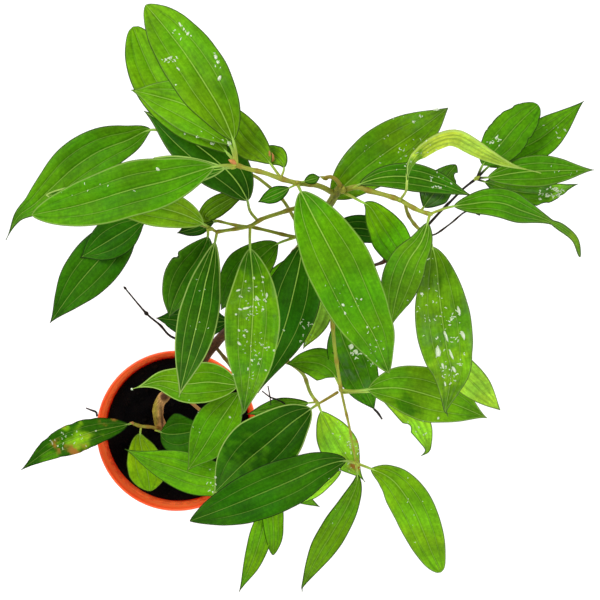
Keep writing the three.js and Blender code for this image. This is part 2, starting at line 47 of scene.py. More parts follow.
# The view from above: a column and a row of a square picture of 600, and a height over the floor
VIEW_HEIGHT = 1100
VIEW_PLACE = (100, 106)
VIEW_MIDDLE = 300
VIEW_LENS = 73.0
VIEW_SENSOR = 36.0
VIEW_FOCUS = 1216.7

# The pot
RIM_RADIUS = 65.0
POT_HEIGHT = 115.0
BASE_RADIUS = 45.0
SHOULDER_RADIUS = 62.4
WALL = 1.8
BAND_FOOT = 100.0
FLOOR_THICKNESS = 2.2
DRAIN_HOLES = 6
DRAIN_HOLE_RADIUS = 4.0
DRAIN_CIRCLE_RADIUS = 29.0
POT_STEPS = 128
ROUNDING_STEPS = 4

# The soil: its side as radii and heights, the radii of the rings of its top, and its crumbs
SOIL_HEIGHT = 103.0
SOIL_SIDE = [(0, 2.6), (41.2, 2.6), (42.4, 4), (56.6, 98.5), (58.6, 101.5)]
SOIL_RINGS = [57.6, *range(54, 0, -2), 0]
SOIL_STEPS = 112
SOIL_LUMPS = 1.6
SOIL_GRAIN = 1.1
SOIL_LEVEL_FROM, SOIL_LEVEL_AT = 44, 57
CRUMBS = 420
CRUMBS_WITHIN = 56
SMALL_CRUMB, LARGE_CRUMB = (0.5, 1.7), (1.6, 2.6)
SMALL_CRUMBS_SHARE = 0.85

# The blades: rows and columns of their grids, and how their surfaces bend
BLADE_GRID, NARROW_GRID = (60, 20), (36, 12)
NARROW_UNDER = 13
ROW_CROWDING = 0.05     # rows lie closer near the stalk and the tip
BLADE_THICKNESS = 0.5
BASE_ROUNDNESS = 0.7
LEAST_HALF_WIDTH = 0.12
NEARLY_UPRIGHT = 0.15   # a path this upright doesn't say which way is across
MARGIN_WANDER = 0.035
MARGIN_WAVE = 1.1
MARGIN_ROLL = 0.5
PANEL_ARCH = 0.034
BUCKLE, CRINKLE = 0.55, 0.16
FULLY_BENT_FROM = 8     # a narrower half bends less
BASE_SHADE = 0.8        # how much of its light the foot of a blade keeps
TINT_SPANS = [(0.93, 1.07), (0.96, 1.04), (0.85, 1.15)]

# The stem: radii, the heights of the part in the soil, how far along it its knots are, and its skin
STEM_FOOT_RADIUS, STEM_TOP_RADIUS = 4.4, 2.3
STEM_ROOTED = range(48, 97, 8)
STEM_SPACING = 1.6
STEM_SIDES = 24
STEM_KNOTS = [60, 74, 96, 128, 161, 204, 246, 289, 330]
STEM_KNOT_LENGTH = 2.6
STEM_RIPPLE, STEM_GRAIN, STEM_KNOT = 0.13, 0.05, 0.12

# The twigs: where their knots are, as shares of their length, and their skin
TWIG_KNOTS = (0.34, 0.6, 0.82, 0.98)
DRY_TWIG_KNOTS = (0.3, 0.55, 0.73)
TWIG_KNOT_LENGTH, TWIG_KNOT = 2.2, 0.28
TWIG_RIPPLE = 0.07
TWIG_SIDES, SPUR_SIDES, STALK_SIDES = 10, 7, 8

# The water: the small drops of a patch are smaller than it says, and longer than wide
DROP_FLATNESS = 0.42
DROP_RAISED = 0.06
SMALL_DROP_SHARE = 0.7
SMALL_DROP_STRETCH = 1.7
CROWN_SCALE = 0.62      # millimetres to a column of the view, in the crown

# The white studio: how bright it is to the plant, and how much brighter to the eye
STUDIO_LIGHT, STUDIO_EXTRA = 0.17, 0.75

# Random draws: a blade's seed is its number, and the numbers of each shoot start this far apart
NUMBERS_PER_SHOOT = 13
CRUMB_SEED, DROP_SEED = 11, 7

TRAIL_STEPS = 16        # spots from one place of a path to the next


def place(column, row, height):
    """A point of the view at a height, in millimetres."""
    reach = (VIEW_HEIGHT - height) / VIEW_FOCUS
    return Vector((
        VIEW_PLACE[0] + (column - VIEW_MIDDLE) * reach,
        VIEW_PLACE[1] + (VIEW_MIDDLE - row) * reach,
        height,
    ))


def seen(point):
    """The column and row of the view where a point in millimetres is seen."""
    reach = (VIEW_HEIGHT - point.z) / VIEW_FOCUS
    return Vector((
        VIEW_MIDDLE + (point.x - VIEW_PLACE[0]) / reach,
        VIEW_MIDDLE - (point.y - VIEW_PLACE[1]) / reach,
    ))


def shade(red, green, blue):
    """A colour as the eye sees it on a screen, from 0 to 255, as light."""
    def light(value):
        value /= 255
        return value / 12.92 if value <= 0.04045 else ((value + 0.055) / 1.055) ** 2.4
    return Vector((light(red), light(green), light(blue)))


def smooth(low, high, value):
    """0 up to the low value, 1 from the high value on, and smooth between them."""
    share = min(1.0, max(0.0, (value - low) / (high - low)))
    return share * share * (3 - 2 * share)


def mixed(a, b, share):
    return a + (b - a) * share


def uneven(x, y, z):
    """Smooth noise round 0."""
    return noise.noise(Vector((x, y, z)))


class Trail:
    """A smooth curve through places of the view, walked by the distance along it."""

    def __init__(self, path):
        points = [place(*spot) for spot in path]
        ends = [2 * points[0] - points[1], *points, 2 * points[-1] - points[-2]]
        self.spots = []
        for before, start, end, after in zip(ends, ends[1:], ends[2:], ends[3:]):
            leaving, arriving = (end - before) / 2, (after - start) / 2
            for step in range(TRAIL_STEPS):
                s = step / TRAIL_STEPS
                self.spots.append(
                    start * (2 * s**3 - 3 * s**2 + 1) + leaving * (s**3 - 2 * s**2 + s)
                    + end * (3 * s**2 - 2 * s**3) + arriving * (s**3 - s**2)
                )
        self.spots.append(points[-1].copy())
        self.reached = [0.0]
        for a, b in zip(self.spots, self.spots[1:]):
            self.reached.append(self.reached[-1] + (b - a).length)
        self.length = self.reached[-1]

    def at(self, along):
        """The point at a distance, and the direction there."""
        along = min(max(along, 0.0), self.length)
        last = len(self.spots) - 1
        i = min(bisect_right(self.reached, along), last) - 1
        share = (along - self.reached[i]) / (self.reached[i + 1] - self.reached[i])
        before = self.spots[i + 1] - self.spots[max(i - 1, 0)]
        after = self.spots[min(i + 2, last)] - self.spots[i]
        return mixed(self.spots[i], self.spots[i + 1], share), mixed(before, after, share).normalized()


class Leaf:
    """A leaf: its width and its stalk in millimetres, its tone, its path, and what sets it apart."""

    tip = 1.25      # how sharp it is: less is blunter
    widest = 0.42   # where it is widest, as a share of its blade
    fold = 9        # how far its halves rise, in degrees
    roll = (0, 0)   # how far it turns over, at its base and at its tip, in degrees
    hook = 0.0      # how far its tip bends aside, in millimetres
    tail = 0.0      # half the width of a long drip tip, in millimetres
    ragged = 0.0    # how torn its margins are
    pale = 0.0      # how pale its margins are
    veins = None    # how clear its veins are; without it, as clear as the margins are pale
    wet = 0.0       # how wet it is
    # A tone patch paints shade on some leaves, light on others, and on others is the leaf's own colour
    marks = ()      # its patches: a tone, "wet" or "rust", with a column, a row and a radius of the view
    bites = ()      # a column, a row and a radius of the view, and how deep it cuts

    def __init__(self, width, stalk, tone, *path, **more):
        self.width, self.stalk, self.tone, self.trail = width, stalk, tone, Trail(path)
        vars(self).update(more)


# Colours of the leaves, as seen. A leaf's tone is set to how bright the leaf looks where it lies, so it is
# partly its own green and partly painted light and shade: sunlit, light and shady are lit and shaded copies
# of the green
TONES = dict(
    sunlit=shade(160, 224, 58), light=shade(184, 240, 76), pale_yellow=shade(206, 236, 96),
    vivid=shade(90, 160, 8), lively=shade(124, 200, 14), bright=shade(102, 164, 18),
    grass=shade(92, 158, 14), leafy=shade(84, 148, 12), soft=shade(98, 156, 24),
    fresh=shade(135, 192, 34), lime=shade(128, 176, 10), yellow=shade(172, 208, 80),
    yellow_green=shade(120, 176, 22), mid=shade(66, 128, 10), shady=shade(54, 113, 6),
    deep=shade(46, 104, 6), dark=shade(38, 92, 6), olive=shade(98, 142, 14),
)
PALE = shade(200, 234, 120)
VEIN = shade(172, 214, 88)
RUST = shade(166, 112, 46)
BACK_GREEN = shade(158, 182, 112)
BACK_VEIN = shade(176, 196, 110)
BUD_ORANGE = shade(206, 138, 78)
TWIG_GREEN = shade(160, 175, 60)
TWIG_OLIVE = shade(150, 150, 50)
TWIG_TAN = shade(186, 134, 72)
TWIG_DARK = shade(62, 46, 26)
STEM_BROWN = shade(86, 50, 24)
STEM_TAN = shade(222, 170, 106)
STEM_OLIVE = shade(166, 152, 56)
STEM_UPPER = shade(128, 130, 44)
BARK_SCAR = shade(176, 122, 66)
DEAD = shade(34, 26, 22)
POT_DEEP, POT_BRIGHT = shade(240, 78, 26), shade(252, 92, 34)
# Worn orange, and a lighter orange that is painted light on the inner wall of the band, where shade falls
POT_WORN, POT_INSIDE_PAINTED_LIGHT = shade(252, 124, 72), shade(255, 126, 60)
# A darker brown for the inner wall just above the soil, and a dusty brown for the foot of the pot
POT_NEAR_SOIL_DARK, POT_DUST = shade(110, 40, 16), shade(150, 96, 66)
SOIL_DARK, SOIL_LIGHT = shade(3, 2, 4), shade(15, 11, 9)
CRUMB_DARK, CRUMB_LIGHT = shade(4, 3, 4), shade(30, 22, 16)
# Painted glint: the water's near-white colour
WATER_PAINTED_GLINT = shade(238, 255, 214)
BLACK, WHITE = Vector((0, 0, 0)), Vector((1, 1, 1))
FLOOR_GREY = Vector((0.34, 0.34, 0.33))

# What a leaf's colour is multiplied by: in cool and warm clouds, as painted shade in the grooves beside its
# veins, wet, and as painted shade at its rim
COOL, WARM = Vector((0.84, 0.99, 0.7)), Vector((1.13, 1.0, 0.5))
VEIN_GROOVE_SHADE = Vector((0.42, 0.5, 0.4))
WET_LEAF = Vector((0.45, 0.55, 0.4))
LEAF_RIM_SHADE = Vector((0.16, 0.18, 0.16))

# The stem, then the dead twig low on it, as columns, rows and heights, and their buds
STEM_PATH = [
    (163, 430, 98), (158, 415, 112), (160, 402, 125), (168, 393, 138), (182, 380, 150), (197, 366, 165),
    (210, 350, 180), (223, 335, 195), (245, 312, 225), (268, 286, 260), (292, 258, 300), (312, 232, 340),
    (326, 210, 370), (337, 192, 395), (341, 187, 401),
]
DRY_TWIG = [
    (214, 346, 183), (195, 343, 196), (172, 337, 204), (160, 325, 210), (146, 313, 216), (124, 287, 226),
]
STEM_BUDS = [((158, 409, 118), 5.5), ((170, 392, 141), 4.5), ((206, 355, 178), 5)]
DRY_BUDS = [((146, 313, 216), (-0.5, 0.6, 0.5), 5.2, 1.6), ((125, 288, 226), (-0.6, 0.7, 0.2), 3.2, 1.0)]

# Each shoot has leaves and may have twigs and buds, tones of its twigs at the stem and at the tip,
# and spurs, which are thin or dead bits. A twig is a radius at either end and a path, and a spur has
# a colour as well. A bud is a place, the way it points, its length and radius, and its colour.
SHOOTS = {}
SHOOTS["shoot_top_left"] = dict(leaves=[
    Leaf(32, 14, "bright", (237, 165, 428), (234, 143, 433), (222, 113, 439), (205, 84, 440), (186, 55, 434),
        (167, 30, 426), (146, 5, 412), tip=0.65, veins=0.5, pale=0.2, marks=[("wet", 224, 90, 12)]),
    Leaf(28, 12, "bright", (237, 165, 428), (229, 143, 426), (210, 121, 424), (185, 105, 420), (160, 97, 414),
        (131, 90, 404), veins=0.5, pale=0.4),
    Leaf(28, 11, "bright", (238, 165, 427), (215, 140, 415), (188, 118, 408), (161, 88, 403), (146, 60, 398),
        (133, 27, 391), tip=0.5, widest=0.55, pale=0.1),
    Leaf(30, 13, "leafy", (238, 165, 428), (213, 167, 432), (170, 180, 436), (130, 190, 434), (80, 205, 425),
        (32, 215, 410), tip=0.65, veins=0.3, pale=0.6),
    Leaf(21, 10, "mid", (240, 166, 427), (213, 170, 417), (170, 173, 409), (140, 181, 405), (110, 191, 401),
        (80, 196, 397), (46, 195, 391), tip=0.65, pale=1.0, bites=[(137, 158, 15, 0.5)]),
    Leaf(20, 11, "fresh", (281, 178, 420), (265, 157, 414), (246, 139, 408), (232, 119, 402), (218, 98, 394),
        pale=0.2),
    Leaf(12, 7, "yellow_green", (281, 178, 420), (284, 168, 417), (280, 160, 412), (271, 153, 406),
        (262, 147, 400), fold=24, pale=0.1),
    Leaf(37, 7, "vivid", (297, 183, 415), (303, 196, 421), (315, 220, 426), (325, 239, 425), (338, 264, 419),
        (350, 290, 411), (362, 315, 401), (375, 338, 389), (389, 373, 364), tip=0.8, widest=0.36, pale=0.6),
    Leaf(9, 5, "mid", (297, 184, 416), (285, 190, 417), (272, 196, 414), (258, 202, 408)),
    Leaf(6, 4, "leafy", (299, 183, 414), (309, 180, 417), (320, 177, 412)),
], twigs=[
    (1.7, 1.2, (335, 194, 392), (322, 187, 403), (310, 184, 409), (297, 183, 415), (279, 178, 421),
        (265, 173, 424), (249, 169, 426), (236, 165, 428)),
], buds=[
    ((233, 162, 429), (-0.8, 0.4, 0.4), 6.0, 1.6, BUD_ORANGE),
    ((234, 167, 428), (-0.7, -0.6, 0.3), 4.5, 1.3, TWIG_GREEN),
    ((281, 178, 421), (0.2, 0.5, 0.8), 4.5, 1.5, TWIG_OLIVE),
    ((271, 156, 414), (-0.3, 0.9, 0.3), 7.0, 1.8, BUD_ORANGE),
    ((297, 183, 416), (0.4, 0.4, 0.8), 5.0, 1.7, TWIG_OLIVE),
])
SHOOTS["shoot_right"] = dict(leaves=[
    # Its soft patch, where the blade rises edge on near the stalk, is painted shade
    Leaf(16, 26, "pale_yellow", (400, 200, 408), (406, 191, 420), (407, 181, 431), (409, 168, 442),
        (415, 157, 449), (427, 147, 452), (440, 140, 453), (455, 138, 452), (472, 146, 448), (489, 155, 440),
        (511, 165, 430), (541, 173, 418), tip=2.6, widest=0.44, roll=(72, 52), veins=0.2, pale=1.0,
        marks=[("yellow", 428, 148, 16), ("soft", 409, 172, 24)]),
    Leaf(16, 5, "mid", (353, 188, 400), (365, 182, 404), (385, 177, 404), (410, 177, 402), (440, 184, 396),
        (472, 196, 384), veins=0.5, pale=0.3),
    Leaf(18, 6, "mid", (421, 211, 411), (428, 201, 398), (438, 188, 384), (447, 176, 376), (456, 165, 368),
        tip=0.65, wet=0.5, bites=[(455, 177, 5, 0.6)]),
    Leaf(17, 14, "leafy", (430, 214, 415), (443, 209, 417), (455, 206, 419), (470, 204, 421), (488, 202, 421),
        (505, 204, 418), (520, 210, 413), (534, 215, 405), (549, 221, 396), (563, 229, 386), (575, 240, 374),
        (580, 257, 362), tip=6, widest=0.25, tail=2.6, pale=0.3, marks=[("lime", 574, 242, 13)]),
    Leaf(22, 14, "lively", (343, 192, 397), (360, 201, 400), (370, 207, 399), (380, 222, 396),
        (390, 238, 388), (402, 256, 376), (415, 274, 362), pale=0.1),
    Leaf(23, 5, "soft", (430, 214, 415), (422, 240, 415), (408, 262, 406), (398, 290, 388), (390, 328, 358),
        veins=0.6, pale=0.3),
    # Its fresh patch towards the tip is painted light, a sheen
    Leaf(33, 6, "soft", (429, 237, 389), (436, 262, 390), (441, 310, 386), (447, 350, 376), (451, 375, 368),
        (444, 416, 350), hook=-2.5, pale=0.4, wet=0.75, marks=[("fresh", 452, 366, 26)]),
], twigs=[
    (1.7, 1.1, (337, 192, 394), (357, 187, 400), (370, 191, 402), (385, 195, 405), (400, 200, 408),
        (410, 206, 410), (420, 211, 412), (430, 214, 415)),
    (1.0, 0.9, (405, 203, 409), (408, 214, 401), (416, 226, 393), (430, 238, 389)),
    (1.2, 0.8, (340, 190, 397), (339, 183, 403), (332, 177, 406), (324, 178, 404)),
], buds=[
    ((430, 214, 416), (0.6, -0.3, 0.7), 4.6, 1.4, TWIG_GREEN),
    ((400, 200, 409), (0.2, 0.2, 0.9), 4.0, 1.5, TWIG_GREEN),
    ((343, 190, 400), (0.2, 0.7, 0.6), 5.5, 1.8, TWIG_OLIVE),
    ((324, 178, 404), (-0.8, 0.3, 0.2), 5.0, 1.2, TWIG_OLIVE),
])
SHOOTS["high_leaf"] = dict(leaves=[
    Leaf(32, 9, "bright", (326, 209, 370), (330, 201, 374), (346, 184, 384), (365, 168, 386), (388, 151, 384),
        (420, 129, 376), (448, 108, 362), tip=1.0, pale=0.3, wet=0.5),
])
SHOOTS["shoot_left"] = dict(leaves=[
    Leaf(32, 16, "deep", (258, 221, 377), (250, 211, 380), (246, 197, 387), (233, 177, 394), (212, 157, 398),
        (185, 137, 396), (144, 111, 386), veins=0.9, pale=0.3),
    # Its mid patch at the foot of the blade is painted shade
    Leaf(34, 13, "bright", (250, 226, 378), (250, 246, 377), (253, 280, 375), (253, 310, 366),
        (251, 345, 348), (249, 378, 328), (243, 417, 300), widest=0.36, hook=2, pale=0.8, wet=0.8,
        marks=[("mid", 252, 258, 26)]),
    Leaf(25, 6, "shady", (217, 232, 370), (214, 247, 369), (210, 265, 367), (205, 285, 363), (200, 310, 352),
        (193, 340, 334), (179, 397, 290), veins=0.9, pale=0.9),
    Leaf(22, 5, "fresh", (210, 228, 371), (198, 221, 376), (182, 214, 382), (160, 208, 386), (130, 204, 387),
        (105, 205, 386), (85, 210, 382), pale=0.7),
    Leaf(26, 7, "mid", (208, 227, 370), (207, 240, 364), (198, 258, 356), (185, 277, 349), (175, 298, 338),
        (169, 318, 324), pale=0.3, bites=[(178, 257, 5, 0.4)]),
    Leaf(25, 6, "deep", (152, 216, 350), (130, 228, 350), (105, 243, 345), (80, 258, 335), veins=0.1,
        pale=0.1),
    Leaf(32, 6, "deep", (152, 216, 350), (124, 234, 342), (100, 259, 336), (75, 288, 322), (50, 323, 302),
        veins=0.15, pale=0.1),
], twigs=[
    (1.4, 1.0, (322, 215, 362), (308, 207, 366), (296, 208, 370), (280, 213, 374), (262, 219, 377),
        (250, 226, 378), (235, 229, 375), (216, 232, 370)),
    (0.9, 0.8, (217, 232, 370), (207, 227, 370), (190, 222, 362), (165, 216, 354), (150, 216, 350)),
], buds=[
    ((210, 229, 372), (-0.9, -0.1, 0.3), 5.0, 1.4, TWIG_GREEN),
    ((250, 226, 379), (-0.2, 0.2, 0.9), 4.0, 1.5, TWIG_OLIVE),
    ((298, 208, 371), (-0.3, 0.4, 0.8), 4.5, 1.5, TWIG_OLIVE),
])
SHOOTS["shoot_left_low"] = dict(leaves=[
    Leaf(13, 4, "olive", (219, 221, 340), (206, 218, 341), (210, 211, 345), (228, 200, 350), (245, 192, 352),
        tip=0.65),
    Leaf(11, 4, "dark", (220, 221, 340), (205, 224, 337), (191, 229, 334), (177, 233, 329)),
    Leaf(28, 12, "leafy", (296, 237, 346), (277, 244, 348), (263, 255, 349), (247, 270, 342), (233, 289, 330),
        (221, 310, 315), pale=0.2),
    Leaf(36, 6, "deep", (303, 236, 343), (302, 247, 345), (299, 268, 343), (293, 295, 334), (286, 322, 322),
        (276, 350, 305), (258, 393, 282), widest=0.3, veins=1.0, pale=0.2),
], twigs=[
    (1.2, 0.8, (311, 234, 338), (296, 237, 346), (265, 230, 346), (251, 227, 345), (235, 225, 343),
        (218, 221, 340)),
])
SHOOTS["shoot_top_left_low"] = dict(leaves=[
    Leaf(28, 13, "leafy", (172, 133, 378), (150, 130, 376), (128, 140, 378), (100, 151, 378), (75, 167, 375),
        (53, 187, 369), (35, 204, 362), (18, 217, 352), (6, 240, 338), tip=1.8, widest=0.34, pale=0.2),
], twigs=[
    (1.2, 0.8, (305, 242, 322), (296, 222, 336), (282, 199, 351), (262, 181, 365), (249, 173, 371),
        (230, 160, 376), (200, 145, 380), (170, 132, 378)),
])
SHOOTS["shoot_centre"] = dict(leaves=[
    Leaf(34, 18, "bright", (341, 390, 328), (355, 391, 332), (372, 389, 335), (398, 388, 337),
        (425, 394, 334), (457, 405, 326), (487, 418, 313), pale=0.5, marks=[("mid", 405, 405, 14)]),
    Leaf(29, 7, "leafy", (332, 314, 331), (338, 325, 324), (345, 345, 319), (354, 365, 315), (364, 388, 308),
        (374, 409, 298), tip=1.0, wet=0.9),
    Leaf(21, 7, "bright", (340, 386, 328), (332, 372, 322), (320, 364, 318), (303, 362, 315), (286, 364, 310),
        widest=0.3, pale=0.1),
    Leaf(17, 24, "sunlit", (342, 393, 328), (360, 392, 321), (380, 393, 315), (397, 401, 311),
        (411, 413, 307), (421, 428, 300), (427, 444, 290), (427, 451, 286), (421, 456, 282), widest=0.4,
        bites=[(410, 425, 7, 0.5)]),
    Leaf(16, 6, "pale_yellow", (327, 283, 334), (323, 298, 324), (319, 315, 315), (312, 332, 308),
        (303, 349, 300), wet=0.6),
    Leaf(32, 8, "deep", (356, 463, 322), (341, 461, 328), (318, 468, 332), (295, 479, 333), (262, 493, 328),
        (225, 508, 316), (190, 521, 298), tip=0.8, veins=0.1, pale=0.1),
    Leaf(18, 8, "soft", (356, 463, 322), (357, 482, 317), (348, 505, 313), (334, 530, 304), (317, 558, 289),
        (300, 591, 268), hook=-1.5),
    Leaf(27, 10, "yellow_green", (356, 463, 322), (374, 470, 322), (387, 476, 323), (399, 487, 321),
        (414, 510, 317), (424, 533, 308), (432, 553, 299), (441, 572, 290), tip=0.5, widest=0.38, pale=0.3),
    Leaf(17, 8, "dark", (317, 246, 338), (330, 236, 342), (348, 229, 344), (365, 229, 342), (388, 235, 336),
        (408, 244, 328)),
], twigs=[
    (1.5, 1.1, (312, 232, 340), (325, 270, 335), (331, 310, 331), (335, 350, 329), (341, 390, 328)),
    (0.9, 0.6, (341, 390, 328), (345, 408, 327), (350, 430, 325), (356, 463, 322)),
], buds=[
    ((341, 390, 329), (0.3, -0.4, 0.8), 4.6, 1.6, TWIG_OLIVE),
    ((357, 464, 323), (0.5, -0.7, 0.5), 5.0, 1.3, TWIG_GREEN),
    ((331, 310, 332), (0.1, 0.3, 0.9), 4.2, 1.6, TWIG_OLIVE),
], spurs=[
    (0.8, 0.6, DEAD, (374, 409, 298), (378, 413, 297), (382, 419, 295)),
])
SHOOTS["shoot_front"] = dict(leaves=[
    # Its mid patch towards the tip is painted light, a paler sheen
    Leaf(42, 6, "dark", (318, 404, 316), (305, 413, 321), (290, 424, 323), (268, 443, 319), (243, 464, 308),
        (213, 494, 280), veins=0.3, pale=0.9, marks=[("mid", 216, 492, 62)]),
    Leaf(25, 5, "sunlit", (318, 404, 316), (325, 420, 315), (335, 439, 310), (347, 459, 303), (365, 482, 292),
        tip=1.8, wet=0.2, marks=[("yellow", 357, 446, 13), ("yellow", 353, 468, 11), ("rust", 355, 463, 9),
        ("rust", 359, 441, 5)]),
    Leaf(12, 6, "leafy", (317, 402, 314), (300, 404, 308), (280, 407, 299), (262, 411, 290), (247, 414, 280)),
], twigs=[
    (1.5, 1.1, (235, 322, 212), (262, 345, 245), (288, 362, 275), (303, 374, 293), (310, 392, 306),
        (318, 404, 316)),
    (0.8, 0.7, (318, 404, 316), (330, 397, 320), (338, 392, 322)),
], buds=[
    ((318, 404, 317), (0.5, -0.5, 0.6), 5.0, 1.5, TWIG_GREEN),
], spurs=[
    (0.5, 0.4, DEAD, (287, 405, 302), (278, 400, 303), (270, 397, 304), (262, 391, 303)),
    (0.4, 0.3, DEAD, (268, 386, 305), (270, 397, 304), (271, 405, 303)),
])
SHOOTS["shoot_low_right"] = dict(leaves=[
    Leaf(31, 9, "grass", (257, 464, 167), (243, 474, 163), (222, 479, 159), (198, 475, 154), (173, 467, 148),
        (148, 459, 141), (125, 449, 134), pale=0.2),
    Leaf(17, 7, "bright", (268, 481, 172), (268, 505, 184), (261, 535, 186), (252, 563, 178),
        (239, 592, 164)),
    Leaf(16, 7, "bright", (270, 481, 172), (272, 500, 190), (273, 520, 193), (274, 538, 188), (273, 555, 180),
        tip=0.65),
    Leaf(17, 7, "sunlit", (270, 482, 172), (290, 492, 186), (308, 489, 194), (325, 480, 198), (341, 471, 198),
        tip=0.65),
    Leaf(11, 6, "fresh", (269, 482, 171), (290, 492, 178), (305, 499, 179), (320, 507, 176)),
], twigs=[
    (1.5, 1.0, (174, 388, 142), (200, 410, 152), (225, 432, 160), (250, 455, 166), (270, 482, 172)),
], buds=[
    ((270, 482, 173), (0.4, -0.7, 0.5), 4.6, 1.4, TWIG_GREEN),
], tones=(TWIG_TAN, TWIG_TAN))
SHOOTS["shoot_low"] = dict(leaves=[
    Leaf(30, 5, "bright", (244, 386, 193), (228, 384, 198), (208, 382, 202), (185, 384, 200), (160, 381, 192),
        (132, 389, 178), tip=1.8, widest=0.3, pale=1.0),
    Leaf(34, 6, "grass", (243, 386, 193), (232, 403, 189), (217, 425, 183), (203, 448, 175), (187, 471, 165),
        pale=0.4),
], twigs=[
    (1.4, 1.1, (214, 345, 184), (230, 365, 190), (244, 386, 193)),
], tones=(STEM_BROWN, TWIG_OLIVE))
SHOOTS["shoot_far_right"] = dict(leaves=[
    Leaf(25, 10, "leafy", (477, 178, 350), (484, 163, 357), (499, 146, 363), (517, 125, 365), (538, 105, 362),
        tip=0.5, ragged=0.1, pale=0.1),
    Leaf(23, 10, "bright", (477, 178, 350), (492, 164, 349), (515, 152, 350), (545, 135, 350),
        (584, 101, 344), pale=0.1),
    Leaf(19, 8, "leafy", (477, 178, 350), (492, 177, 357), (515, 173, 362), (540, 171, 363), (594, 170, 352),
        pale=0.4),
    # Its sunlit patch towards the tip is painted light
    Leaf(17, 7, "leafy", (476, 179, 349), (492, 184, 343), (515, 191, 339), (545, 193, 335), (578, 184, 328),
        ragged=0.25, wet=0.7, marks=[("sunlit", 566, 188, 20)]),
    Leaf(20, 7, "light", (440, 332, 338), (448, 352, 342), (460, 370, 343), (478, 388, 339), (500, 410, 330),
        tip=1.0, pale=0.2),
], twigs=[
    (1.3, 0.7, (291, 259, 299), (310, 266, 303), (330, 268, 306), (360, 268, 310), (378, 264, 313),
        (388, 258, 316), (405, 246, 320), (425, 228, 328), (440, 212, 334), (452, 200, 340), (463, 189, 345),
        (477, 178, 350)),
    (0.9, 0.8, (405, 246, 320), (412, 275, 326), (425, 305, 332), (440, 332, 338)),
    (0.6, 0.5, (425, 228, 328), (433, 235, 332), (450, 224, 338), (467, 211, 342), (480, 215, 344)),
], buds=[
    ((477, 178, 351), (0.7, 0.4, 0.5), 5.0, 1.4, TWIG_GREEN),
    ((405, 246, 321), (0.1, 0.1, 0.9), 3.6, 1.4, TWIG_OLIVE),
    ((442, 333, 339), (0.7, -0.5, 0.4), 4.6, 1.2, TWIG_GREEN),
], spurs=[
    (0.8, 0.6, STEM_BROWN, (376, 265, 313), (383, 263, 318), (391, 259, 322)),
    (0.6, 0.4, STEM_BROWN, (384, 263, 318), (384, 258, 321), (387, 254, 323)),
], tones=(TWIG_DARK, DEAD))
SHOOTS["shoot_base"] = dict(leaves=[
    Leaf(24, 5, "deep", (134, 423, 127), (115, 427, 136), (95, 431, 141), (75, 438, 139), (50, 449, 132),
        (21, 470, 122), ragged=0.06, marks=[("rust", 77, 449, 12), ("rust", 104, 415, 12),
        ("rust", 60, 445, 9), ("fresh", 78, 440, 14), ("grass", 50, 456, 12)]),
    Leaf(30, 5, "lime", (141, 427, 122), (140, 440, 124), (144, 458, 125), (148, 475, 122), (150, 491, 118),
        tip=0.65, widest=0.6, pale=0.3),
    Leaf(34, 6, "deep", (155, 430, 115), (168, 434, 121), (185, 433, 126), (207, 427, 131)),
], twigs=[
    (1.6, 1.1, (162, 427, 102), (157, 428, 113), (150, 427, 119), (140, 426, 123), (132, 423, 127)),
], buds=[
    ((132, 423, 128), (-0.9, 0.2, 0.4), 4.0, 1.3, TWIG_TAN),
], spurs=[
    (0.9, 0.5, DEAD, (97, 416, 139), (96, 412, 141), (91, 410, 142), (86, 408, 142)),
], tones=(TWIG_TAN, TWIG_GREEN))
SHOOTS["small_leaf"] = dict(leaves=[
    Leaf(14, 8, "fresh", (297, 251, 311), (290, 262, 317), (282, 273, 317), (273, 286, 313), (262, 302, 303)),
])
SHOOTS["low_leaf"] = dict(leaves=[
    Leaf(25, 8, "dark", (237, 321, 214), (215, 322, 222), (195, 322, 227), (175, 320, 227), (156, 318, 222),
        ragged=0.08),
], tones=(STEM_BROWN, TWIG_OLIVE))

